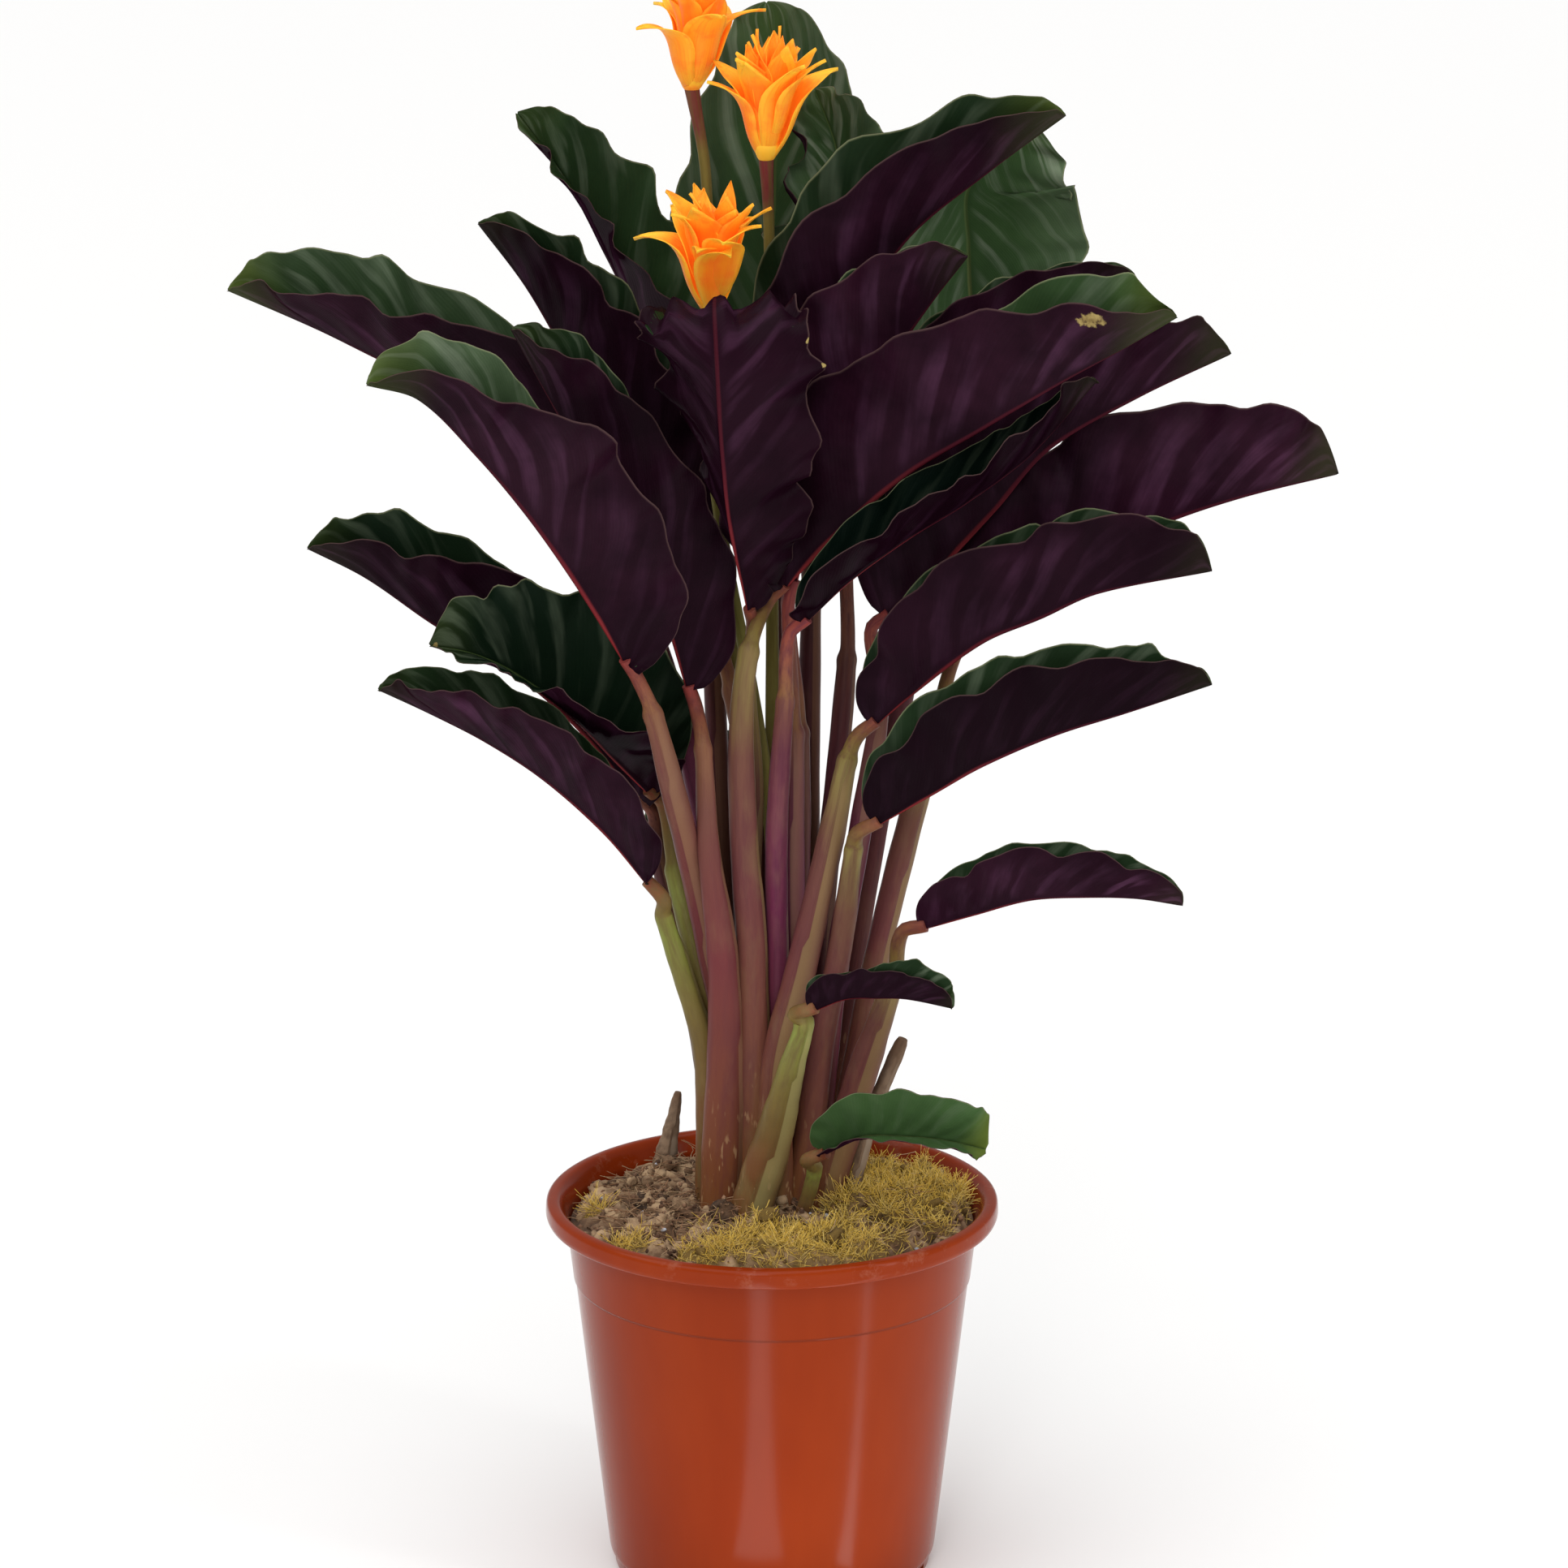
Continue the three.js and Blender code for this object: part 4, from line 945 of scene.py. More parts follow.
def blade_mesh(leaf, number):
    """A blade: both halves, a thin skin with the raised rib on its lower side."""
    name = leaf["name"]
    route, reach = smooth_route(leaf["rib"])
    s = np.linspace(0, 1, BLADE_STATIONS)
    t = s - 0.45 * np.sin(2 * math.pi * s) / (2 * math.pi)
    phase = 1.7 * number
    left, left_normal, left_v = half_blade(leaf, route, reach, t, 0, phase)
    right, right_normal, right_v = half_blade(leaf, route, reach, t, 1, phase + 2.1)
    middle = unit(left_normal[:, 0] + right_normal[:, 0])[:, None, :]
    # near the rib the normals turn into the middle one, so that the ridge stands evenly on both halves
    share = np.array([0, 0.3, 0.6, 0.85] + [1] * len(BLADE_COLUMNS))[None, :, None]
    left_normal = unit(middle + (left_normal - middle) * share)
    right_normal = unit(middle + (right_normal - middle) * share)
    points = np.concatenate([left[:, :0:-1], right], axis=1)
    normals = np.concatenate([left_normal[:, :0:-1], right_normal], axis=1)
    v = np.concatenate([0.5 - 0.5 * left_v[:, :0:-1], 0.5 + 0.5 * right_v], axis=1)
    from_rib = np.abs(2 * v - 1)
    if leaf["over"]:
        # where the blade bends over the top it is crumpled into waves too
        crest = np.exp(-((t[:, None] - 0.85) / 0.14) ** 4)
        sway = np.sin(2 * math.pi * 3.6 * (v - 0.5) + 0.8) + 0.5 * np.sin(2 * math.pi * 6.1 * v)
        inside = np.minimum(1, 4 * from_rib) * (1 - from_rib ** 8)
        points[..., 2] += CREST_WAVES * crest * (sway - 0.5) * inside
    half_ridge = [1, 0.82, 0.42, 0] + [0] * len(BLADE_COLUMNS)
    ridge = np.array(half_ridge[:0:-1] + half_ridge)[None, :]
    thin = BLADE_THICKNESS / 2 * (1 - 0.45 * from_rib ** 8)
    upper = (thin - 0.18 * ridge)[..., None] * normals
    lower = (thin + (0.12 + 1.05 * (1 - t) ** 1.5)[:, None] * ridge)[..., None] * normals
    if leaf["left"][1] < leaf["right"][1]:
        mesh = closed_skin("blade_" + name, points + upper, points - lower, t, v, (0, 1, 1))
    else:
        mesh = closed_skin("blade_" + name, points + lower, points - upper, t, v, (1, 0, 1))
    dry = np.zeros(v.shape)
    for spot_t, spot_v, long, wide in DRY_SPOTS[name]:
        dry = np.maximum(dry, np.exp(-((t[:, None] - spot_t) / long) ** 2 - ((v - spot_v) / wide) ** 2))
    store_values(mesh, pale=PALENESS_AND_SHEEN[name], green=GREENNESS[name], banding=BANDING[name],
                 dry=np.tile(dry.ravel(), 2), green_tip=GREEN_TIPS[name], lean=LEANS[name],
                 shift=(number * 0.37) % 1 * 10)
    return mesh


def make_feather_group():
    """The pattern of a blade on its UV map: bands along the veins, fine veins, rib, margin and tip."""
    inputs = {"Bands": 9.0, "Fine Veins": 95.0, "Wander": 2.0, "Lean": 0.15, "Shift": 0.0, "Reach": 0.62}
    outputs = ("Band", "Fine Vein", "Rib", "Margin", "Tip", "Along", "Out")
    group, given, made = new_group("feather_veins", inputs, outputs)

    def between(value, low, high):
        return ranged(group, value, low, high, kind="SMOOTHSTEP")

    def less(first, second):
        return maths(group, "SUBTRACT", first, second)

    place = group.nodes.new("ShaderNodeUVMap").outputs["UV"]
    split = add_node(group, "ShaderNodeSeparateXYZ", {"Vector": place})
    along, across = split.outputs["X"], split.outputs["Y"]
    out = maths(group, "ABSOLUTE", maths(group, "MULTIPLY_ADD", across, 2.0, -1.0))
    # the bands and their irregularities run along the veins, leaning forward as they run out
    lean = less(along, times(group, out, given["Lean"]))
    spot = vector(group, times(group, lean, 13.0), times(group, across, 1.6), given["Shift"])
    drift = add_node(group, "ShaderNodeTexNoise", {"Vector": spot, "Scale": 1.0, "Detail": 3.0}).outputs
    wander = times(group, less(drift["Fac"], 0.5), given["Wander"])
    count = maths(group, "ADD", times(group, lean, given["Bands"]), wander)
    band = maths(group, "MULTIPLY_ADD", maths(group, "SINE", times(group, count, 2 * math.pi)), 0.5, 0.5)
    band = times(group, between(band, 0.15, 1.0), between(drift["Color"], 0.36, 0.64))
    band = times(group, band, less(1.0, between(less(out, given["Reach"]), 0.0, 0.35)))
    fine = times(group, maths(group, "MULTIPLY_ADD", drift["Fac"], 0.02, lean),
                 times(group, given["Fine Veins"], 2 * math.pi))
    return feed(group, made, {
        "Band": times(group, band, between(out, 0.02, 0.14)),
        "Fine Vein": maths(group, "MULTIPLY_ADD", maths(group, "SINE", fine), 0.5, 0.5),
        "Rib": less(1.0, between(out, 0.012, 0.03)), "Margin": between(out, 0.975, 0.998),
        "Tip": between(along, 0.8, 1.0), "Along": along, "Out": out,
    }).id_data


feather_group = make_feather_group()


def make_blade_material(name, roughness, lightness, banding, ground, band, rib, margin, tip, mottling,
                        strength, reach, painted_margin_sheen):
    """One face of a blade. ground is a dark and a light colour, between which the attribute lightness
    chooses; the attribute banding says how clear the bands are, which reach out to reach, and how clear the
    painted sheen towards the margin is."""
    material, tree, shader = new_material(name, {})
    # matt at grazing angles, as a leaf with its fine film of wax is
    slant = add_node(tree, "ShaderNodeLayerWeight", {"Blend": 0.5}).outputs["Facing"]
    veins = add_node(tree, "ShaderNodeGroup", {
        "Reach": reach, "Shift": attribute(tree, "shift"), "Lean": attribute(tree, "lean"),
    }, node_tree=feather_group).outputs
    clouds = speckle(tree, cloud=26.0, grain=1500.0)
    clear = attribute(tree, banding)
    colour = blended(tree, attribute(tree, lightness), ground[0], ground[1])
    banded = times(tree, times(tree, veins["Band"], strength), maths(tree, "MULTIPLY_ADD", clear, 0.9, 0.1))
    # the bands grow stronger towards the tip: partly the pattern, partly a painted sheen
    banded = times(tree, banded, ranged(tree, veins["Along"], 0.1, 0.75, 0.45, 1.2))
    colour = blended(tree, banded, colour, band)
    # paler towards the margin where the bands are clear: a painted sheen
    outer = ranged(tree, veins["Out"], 0.4, 1.0, 0.0, painted_margin_sheen)
    colour = blended(tree, times(tree, outer, ranged(tree, clear, 0.35, 1.0)), colour, band)
    colour = blended(tree, ranged(tree, clouds["Cloud"], 0.38, 0.62, 0.0, mottling), colour, ground[0])
    colour = blended(tree, times(tree, veins["Fine Vein"], 0.06), colour, ground[0])
    colour = blended(tree, times(tree, veins["Tip"], attribute(tree, "green_tip")), colour, tip)
    red = colour_steps(tree, veins["Along"], [(0.0, rib[0]), (0.45, rib[1]), (1.0, rib[2])])
    colour = blended(tree, veins["Rib"], colour, red)
    colour = blended(tree, times(tree, veins["Margin"], 0.5), colour, margin)
    # withered spots have ragged edges
    ragged = speckle(tree, cloud=260.0, grain=900.0)["Cloud"]
    withered = times(tree, times(tree, attribute(tree, "dry"), times(tree, ragged, 0.75)), 1.9)
    dried = colour_steps(tree, ragged, [(0.35, (0.14, 0.09, 0.03)), (0.6, (0.36, 0.27, 0.10))])
    colour = blended(tree, ranged(tree, withered, 0.42, 0.56, kind="SMOOTHSTEP"), colour, dried)
    feed(tree, shader, {
        "Base Color": colour,
        "Roughness": ranged(tree, clouds["Cloud"], 0.0, 1.0, roughness - 0.08, roughness + 0.1),
        "Specular IOR Level": ranged(tree, slant, 0.3, 0.75, 0.03, 0.0),
    })
    relief = maths(tree, "MULTIPLY_ADD", clouds["Grain"], 0.35, veins["Fine Vein"])
    bumped(tree, shader, relief, 0.00006, 0.35)
    return material


blade_upper = make_blade_material(
    "blade_upper_side", 0.42, "green", "banding", ground=((0.0014, 0.0055, 0.0035), (0.060, 0.120, 0.040)),
    band=(0.19, 0.24, 0.16), rib=((0.10, 0.10, 0.035), (0.06, 0.09, 0.03), (0.06, 0.10, 0.03)),
    margin=(0.26, 0.28, 0.15), tip=(0.12, 0.16, 0.03), mottling=0.3, strength=0.85, reach=0.86,
    painted_margin_sheen=0.3)
# the underside's lilac bands are partly its own feather pattern and partly a painted sheen
blade_under = make_blade_material(
    "blade_underside", 0.36, "pale", "pale", ground=((0.005, 0.0010, 0.0030), (0.034, 0.0080, 0.020)),
    band=(0.115, 0.042, 0.092), rib=((0.24, 0.026, 0.028), (0.06, 0.007, 0.014), (0.03, 0.005, 0.010)),
    margin=(0.12, 0.07, 0.065), tip=(0.045, 0.065, 0.018), mottling=0.65, strength=0.7, reach=0.62,
    painted_margin_sheen=0.0)
for number, leaf in enumerate(LEAVES):
    blade = link_piece("blade_" + leaf["name"], blade_mesh(leaf, number), [blade_upper, blade_under])
    settle(blade)
    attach(blade, "root")
    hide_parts("leaf_" + leaf["name"])

# ---------------------------------------------------------------------------------------------------------
# Stalks
# Each blade has its own stalk: a wrapped sheath with a lengthwise edge, thick at the foot, that ends in a
# small knob; above it a thinner red elbow carries the blade. They stand in the peat.
SHEATH_LIP = 0.13
ELBOW_RADIUS = 2.6
ELBOW_LENGTH = 8
STALK_SIDES = 24
SHARPEST_EDGE = 50  # in degrees
# how much wider the foot of a sheath is in the peat
FOOT_FLARES = for_each_leaf(
    0.12, left_inner=0.55, centre_small=0.3, left_big=0.5, right_big=0.55, right_lower=0.5, right_low=0.45,
    right_cupped=0.3, right_second=0.3, right_small=0.3)
# the finish of the stalks that aren't rose brown
SHEATH_FINISHES = for_each_leaf(
    "rose",
    left_green="green", left_lowest="green", centre_small="green", soil_leaf="green",
    right_cupped="mauve", right_second="mauve", upper_right="mauve", left_outer="mauve", right_inner="mauve",
    front_centre="olive", right_big="olive", right_lower="olive", right_low="olive", right_outer="olive",
    right_small="olive", back_left="dark", back_top="dark", back_middle="dark", back_right="dark",
    back_low="dark", right_hidden="dark", left_low="dark")


def tube_mesh(name, route, t, radii, lip, lip_angle, sides, share, broad=1.0):
    """A closed tube along a route in mm, with a ring at each t. lip: how far the wrapped edge stands proud,
    as a share of the radius. share: the attribute along. broad: how much wider it is from left to right."""
    centres, alongs, count = route(t), heading(route, t), len(t)
    turn = 2 * math.pi * np.arange(sides) / sides
    right = unit(np.cross((0, 1, 0), alongs))
    back = np.cross(alongs, right)
    lip, lip_angle, broad = (np.broadcast_to(value, count)[:, None] for value in (lip, lip_angle, broad))
    past_edge = ((turn[None, :] - lip_angle) % (2 * math.pi)) / (2 * math.pi)
    radius = radii[:, None] * (1 + lip * (past_edge - 0.5))
    rings = (centres[:, None, :] + (radius * np.cos(turn) * broad)[..., None] * right[:, None, :]
             + (radius * np.sin(turn))[..., None] * back[:, None, :])
    i, j = np.meshgrid(np.arange(count - 1), np.arange(sides), indexing="ij")
    a, b = i * sides + j, i * sides + (j + 1) % sides
    quads = np.stack([a, b, b + sides, a + sides], axis=-1).reshape(-1, 4)
    ends = [list(range(sides))[::-1], [(count - 1) * sides + k for k in range(sides)]]
    mesh = bpy.data.meshes.new(name)
    mesh.from_pydata((rings.reshape(-1, 3) * mm).tolist(), [], quads.tolist() + ends)
    store_values(mesh, along=np.repeat(share, sides), around=past_edge.ravel())
    mesh.shade_smooth()
    mesh.set_sharp_from_angle(angle=math.radians(SHARPEST_EDGE))
    return mesh


def stalk_mesh(leaf, number):
    """The stalk of a leaf. Its attribute along is 0 at the foot, 1 at the knob and 2 at the blade."""
    joint = np.array(leaf["rib"][0], float)
    ahead = heading(smooth_route(leaf["rib"])[0], np.array([0.0]))[0]
    foot, *middle = np.array(leaf["stalk"], float)
    # the foot stands 5 mm deep in the peat, and the top ends 1.5 mm inside the blade
    points = [foot - (0, 0, 5), *middle, joint - ahead * ELBOW_LENGTH, joint + ahead * 1.5]
    route, length = smooth_route(points)
    knob = np.sum(np.linalg.norm(np.diff(points[:len(leaf["stalk"])], axis=0), axis=1)) / length
    # more rings stand near the knob than along the sheath
    t = np.concatenate([np.linspace(0, knob - 5 / length, 40),
                        np.linspace(knob - 4 / length, knob + 5 / length, 12),
                        np.linspace(knob + 6 / length, 1, 12)])
    sheath = np.interp(t, np.linspace(0, 1, len(leaf["girth"])), leaf["girth"])
    elbow = np.minimum(sheath, ELBOW_RADIUS * (1 - 0.12 * (t - knob) / (1 - knob)))
    past = (t - knob) * length
    closing = 1 / (1 + np.exp(-(past - 1.5) / 0.8))
    radii = sheath * (1 - closing) + elbow * closing
    radii = radii * (1 + 0.1 * np.exp(-((past + 1) / 2.6) ** 2))
    flare = FOOT_FLARES[leaf["name"]] * np.exp(-((t * length) / 75) ** 2)
    radii = radii * (1 + 0.4 * flare)
    radii = radii * (1 + 0.015 * np.sin(t * 31 + number) + 0.012 * np.sin(t * 67 + 2 * number))
    broad = 1 + flare + 0.12 * np.exp(-((t * length - 150) / 90) ** 2)
    lip_angle = -math.pi / 2 + 0.9 * math.sin(2.3 * number) + 0.8 * t
    share = np.where(past < 0, t / knob, 1 + (t - knob) / (1 - knob))
    return tube_mesh("stalk_of_" + leaf["name"], route, t, radii, SHEATH_LIP * (1 - closing), lip_angle,
                     STALK_SIDES, share, broad)


def make_streak_group():
    """Lengthwise streaks and spots on a stalk, from its attributes along and around."""
    inputs = {"Fineness": 7.0, "Length": 4.0}
    group, given, made = new_group("stalk_streaks", inputs, ("Streak", "Edge", "Along"))
    along, around = attribute(group, "along"), attribute(group, "around")
    spot = vector(group, times(group, around, given["Fineness"]), times(group, along, given["Length"]),
                  attribute(group, "shift"))
    streaks = add_node(group, "ShaderNodeTexNoise", {
        "Vector": spot, "Scale": 1.0, "Detail": 5.0, "Roughness": 0.65,
    })
    edge = ranged(group, around, 0.3, 0.03, kind="SMOOTHSTEP")
    return feed(group, made, {"Streak": streaks.outputs["Fac"], "Edge": edge, "Along": along}).id_data


streak_group = make_streak_group()


def make_stalk_material(name, steps, streak, edge, roughness=0.42):
    """A stalk with colours from its foot to the blade, darker streaks and a pale or dark sheath edge."""
    material, tree, shader = new_material(name, {"Roughness": roughness, "Specular IOR Level": 0.1})
    streaks = add_node(tree, "ShaderNodeGroup", {}, node_tree=streak_group).outputs
    clouds = speckle(tree, cloud=90.0, grain=1600.0, stretch=0.3)
    colour = colour_steps(tree, times(tree, streaks["Along"], 0.5), steps)
    colour = blended(tree, ranged(tree, streaks["Streak"], 0.42, 0.68, 0.0, 0.75), colour, streak)
    sheathed = ranged(tree, streaks["Along"], 0.93, 1.02, 0.6, 0.05)
    colour = blended(tree, times(tree, streaks["Edge"], sheathed), colour, edge)
    colour = blended(tree, ranged(tree, clouds["Cloud"], 0.5, 0.75, 0.0, 0.3), colour, edge)
    # shreds of dry skin cling to the foot
    shreds = ranged(tree, speckle(tree, cloud=300.0, grain=420.0, stretch=0.25)["Grain"], 0.62, 0.68)
    low = ranged(tree, streaks["Along"], 0.02, 0.3, 0.8, 0.0)
    feed(tree, shader, {"Base Color": blended(tree, times(tree, shreds, low), colour, (0.55, 0.36, 0.18))})
    relief = maths(tree, "ADD", streaks["Streak"], times(tree, clouds["Grain"], 0.3))
    bumped(tree, shader, relief, 0.0004, 0.6)
    return material


# colours by their place on the stalk: 0 the foot, 0.5 the knob, 1 the blade
rosy_elbow = [(0.53, (0.22, 0.10, 0.045)), (0.7, (0.23, 0.075, 0.045)), (1.0, (0.24, 0.04, 0.035))]
tan_elbow = [(0.53, (0.18, 0.14, 0.035)), (0.75, (0.17, 0.09, 0.03)), (1.0, (0.20, 0.05, 0.03))]
sheath_materials = {
    "rose": make_stalk_material("rose_brown_sheath", [
        (0.0, (0.20, 0.07, 0.020)), (0.1, (0.175, 0.056, 0.030)), (0.28, (0.155, 0.034, 0.038)),
        (0.44, (0.148, 0.056, 0.042)), *rosy_elbow,
    ], streak=(0.12, 0.032, 0.035), edge=(0.24, 0.13, 0.07)),
    "mauve": make_stalk_material("mauve_sheath", [
        (0.0, (0.19, 0.065, 0.024)), (0.12, (0.15, 0.034, 0.038)), (0.3, (0.155, 0.026, 0.068)),
        (0.45, (0.14, 0.04, 0.050)), *rosy_elbow,
    ], streak=(0.075, 0.016, 0.035), edge=(0.27, 0.14, 0.09)),
    "olive": make_stalk_material("olive_sheath", [
        (0.0, (0.20, 0.075, 0.022)), (0.12, (0.165, 0.060, 0.034)), (0.3, (0.148, 0.044, 0.043)),
        (0.41, (0.150, 0.063, 0.043)), (0.485, (0.22, 0.17, 0.055)), *tan_elbow,
    ], streak=(0.10, 0.030, 0.033), edge=(0.25, 0.17, 0.07)),
    "green": make_stalk_material("green_sheath", [
        (0.0, (0.17, 0.06, 0.020)), (0.16, (0.17, 0.075, 0.030)), (0.35, (0.18, 0.14, 0.038)),
        (0.47, (0.22, 0.25, 0.05)), *tan_elbow,
    ], streak=(0.13, 0.09, 0.035), edge=(0.34, 0.30, 0.12)),
    "dark": make_stalk_material("dark_purple_sheath", [
        (0.0, (0.15, 0.06, 0.025)), (0.15, (0.10, 0.032, 0.028)), (0.4, (0.085, 0.022, 0.03)),
        (0.5, (0.08, 0.03, 0.022)), (0.8, (0.16, 0.05, 0.03)),
    ], streak=(0.035, 0.009, 0.013), edge=(0.18, 0.09, 0.05)),
}
for number, leaf in enumerate(LEAVES):
    finish = sheath_materials[SHEATH_FINISHES[leaf["name"]]]
    stalk = link_piece("stalk_of_" + leaf["name"], stalk_mesh(leaf, number), [finish])
    store_values(stalk.data, shift=number * 3.1)
    settle(stalk)
    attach(stalk, "root")
    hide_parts("stalk_" + leaf["name"])

# ---------------------------------------------------------------------------------------------------------
# Flower stalks
# Three slim bare stalks, olive and turning maroon under the head, that stand in the peat among the leaves.
# stalk: points from the foot to the head in mm. lean: how far the head leans to the right and to the front
# for each mm of height. spread: width of its cup. fold: how far its tips fold out. turn: round its own axis.
FLOWERS = [
    dict(name="tall", lean=(0.06, 0.02), spread=1.0, fold=0.95, turn=0,
         stalk=[(-8, 25, 140), (-10, 28, 286), (-20, 32, 410), (-24, 36, 524), (-29, 38, 555)]),
    dict(name="middle", lean=(0.05, 0.1), spread=0.92, fold=0.76, turn=23,
         stalk=[(-1, 22, 140), (0, 26, 287), (0, 30, 410), (-1, 28, 506), (-2, 26, 531)]),
    dict(name="short", lean=(0, 0.06), spread=0.98, fold=1.1, turn=82,
         stalk=[(2, 15, 140), (-1, 14, 290), (-20, 9, 409), (-22, 6.5, 440), (-21, -1.6, 479)]),
]
FLOWER_STALK_RADII = (3.1, 2.9, 2.5, 2.05, 2.0)
FLOWER_STALK_RINGS = 72
FLOWER_STALK_SIDES = 20
olive_stalk = make_stalk_material("olive_flower_stalk", [
    (0.0, (0.14, 0.06, 0.02)), (0.3, (0.15, 0.12, 0.03)), (0.72, (0.21, 0.19, 0.045)),
    (0.945, (0.17, 0.13, 0.03)), (0.965, (0.14, 0.025, 0.025)), (1.0, (0.17, 0.03, 0.03)),
], streak=(0.11, 0.08, 0.02), edge=(0.26, 0.22, 0.08), roughness=0.5)
for number, flower in enumerate(FLOWERS):
    points = np.array(flower["stalk"], float)
    points[0] -= (0, 0, 5)
    points[-1] += (0, 0, 1)
    t = np.linspace(0, 1, FLOWER_STALK_RINGS)
    radii = np.interp(t, np.linspace(0, 1, 5), FLOWER_STALK_RADII) * (1 + 0.02 * np.sin(40 * t + number))
    # it swells into the foot of the head
    radii += 0.75 * np.clip((t - 0.955) / 0.045, 0, 1) ** 1.5
    mesh = tube_mesh("flower_stalk", smooth_route(points)[0], t, radii, lip=0.03, lip_angle=1.2,
                     sides=FLOWER_STALK_SIDES, share=2 * t)
    piece = link_piece("stalk_of_" + flower["name"] + "_flower", mesh, [olive_stalk])
    store_values(piece.data, shift=70 + 5 * number)
    settle(piece)
    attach(piece, "root")
    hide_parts("flower_stalk_" + flower["name"])

# ---------------------------------------------------------------------------------------------------------
# Flower heads
# Each head is a cup of waxy orange bracts, grown in whorls: the outer tips fold out level, the next ones
# slant, and a tuft stands upright in the middle. A head grows on from its stalk.
BRACT_THICKNESS = 0.35
BRACT_STATIONS = 19
BRACT_COLUMNS = 9
# per whorl: bracts, foot radius, foot height, length, width, tilt from upright at the foot, along the cup
# and at the tip, share of the length after which it folds out, and turn round the head in degrees
WHORLS = [
    (5, 2.9, 1.5, 42.5, 16.5, 28, 9, 98, 0.57, 12),
    (5, 3.2, 8, 38.5, 15.5, 24, 10, 80, 0.54, 46),
    (5, 2.8, 14.5, 34, 14, 18, 10, 56, 0.48, 10),
    (5, 2.2, 19.5, 29.5, 11.5, 9, 7, 38, 0.36, 40),
    (4, 1.2, 22.5, 26, 8, 4, 3, 14, 0.4, 80),
]
# radius and height in mm of the small cup under the bracts
HEAD_CUP = ((0.4, -0.2), (2.6, -0.1), (3.5, 1), (4.6, 3.2), (5.2, 5.5), (4, 8), (0.5, 9))


def eased(share):
    return share * share * (3 - 2 * share)


def bract_mesh(foot, height, length, width, foot_tilt, cup_tilt, tip_tilt, fold):
    """One bract in mm: a pointed, cupped skin that climbs close to the axis and then folds out along +X."""
    s = np.linspace(0, 1, BRACT_STATIONS)
    u = np.clip((s - fold * 0.7) / (1 - fold * 0.7), 0, 1)
    tilt = foot_tilt + (cup_tilt - foot_tilt) * eased(np.clip(s / 0.4, 0, 1))
    tilt = np.radians(tilt + (tip_tilt - cup_tilt) * eased(u))
    step = length / (BRACT_STATIONS - 1)
    middle = (tilt[1:] + tilt[:-1]) / 2
    r = foot + np.concatenate([[0], np.cumsum(np.sin(middle) * step)])
    z = height + np.concatenate([[0], np.cumsum(np.cos(middle) * step)])
    rise = np.sin(np.pi / 2 * np.minimum(s / 0.56, 1)) ** 0.7
    fall = 1 - np.clip((s - 0.56) / 0.44, 0, 1) ** 1.3
    half = width / 2 * np.clip(rise * fall + 0.4 * (1 - s) ** 2, 0.02, None)
    side = np.linspace(-1, 1, BRACT_COLUMNS)[None, :]
    wrap = np.clip(half / np.maximum(r, 3.4), 0, 1.25) * (1 - 0.3 * u) + 0.25 * u
    angle = wrap[:, None] * side
    bulge = half / np.maximum(wrap, 1e-3)
    normal = np.stack([-np.cos(tilt), np.zeros_like(s), np.sin(tilt)], axis=-1)[:, None, :]
    aside = np.array((0, 1, 0))
    inward = bulge[:, None] * (1 - np.cos(angle)) - 0.05 * half[:, None] * (1 - np.abs(side))
    points = (np.stack([r, np.zeros_like(s), z], axis=-1)[:, None, :] + inward[..., None] * normal
              + (bulge[:, None] * np.sin(angle))[..., None] * aside)
    ripple = 0.9 * np.sin(11 * s[:, None] + 3 * side) * np.abs(side) ** 2 * s[:, None]
    points = points + ripple[..., None] * normal
    skin = (normal * np.cos(angle)[..., None] - np.sin(angle)[..., None] * aside) * BRACT_THICKNESS / 2
    across = np.broadcast_to(side * 0.5 + 0.5, angle.shape)
    mesh = closed_skin("bract", points + skin, points - skin, s, across, (0, 0, 0))
    body = bmesh.new()
    body.from_mesh(mesh)
    bmesh.ops.recalc_face_normals(body, faces=body.faces)
    body.to_mesh(mesh)
    body.free()
    return mesh


def make_whorl_tree():
    """Copies of the incoming bract, set evenly round the head's axis with small random turns and sizes."""
    tree, given, made = new_tree("whorl", [
        ("Count", "Int", 5), ("Turn", "Float", 0.0), ("Spread", "Float", 0.3),
    ])
    points = add_node(tree, "GeometryNodePoints", {"Count": given["Count"]})
    index = tree.nodes.new("GeometryNodeInputIndex").outputs["Index"]
    share = maths(tree, "DIVIDE", index, given["Count"])
    angle = maths(tree, "MULTIPLY_ADD", share, 2 * math.pi, given["Turn"])
    stray = random_value(tree, given, times(tree, given["Spread"], -1.0), given["Spread"], 31)
    turn = vector(tree, random_value(tree, given, -0.17, 0.17, 35), random_value(tree, given, -0.2, 0.15, 32),
                  maths(tree, "ADD", angle, stray))
    size = random_value(tree, given, (0.82, 0.85, 0.86), (1.1, 1.15, 1.03), 33, "FLOAT_VECTOR")
    bracts = real_copies(tree, given, points.outputs["Points"], given["Geometry"], turn, size, 34)
    feed(tree, made, {"Geometry": coloured(tree, given, bracts)})
    return tree


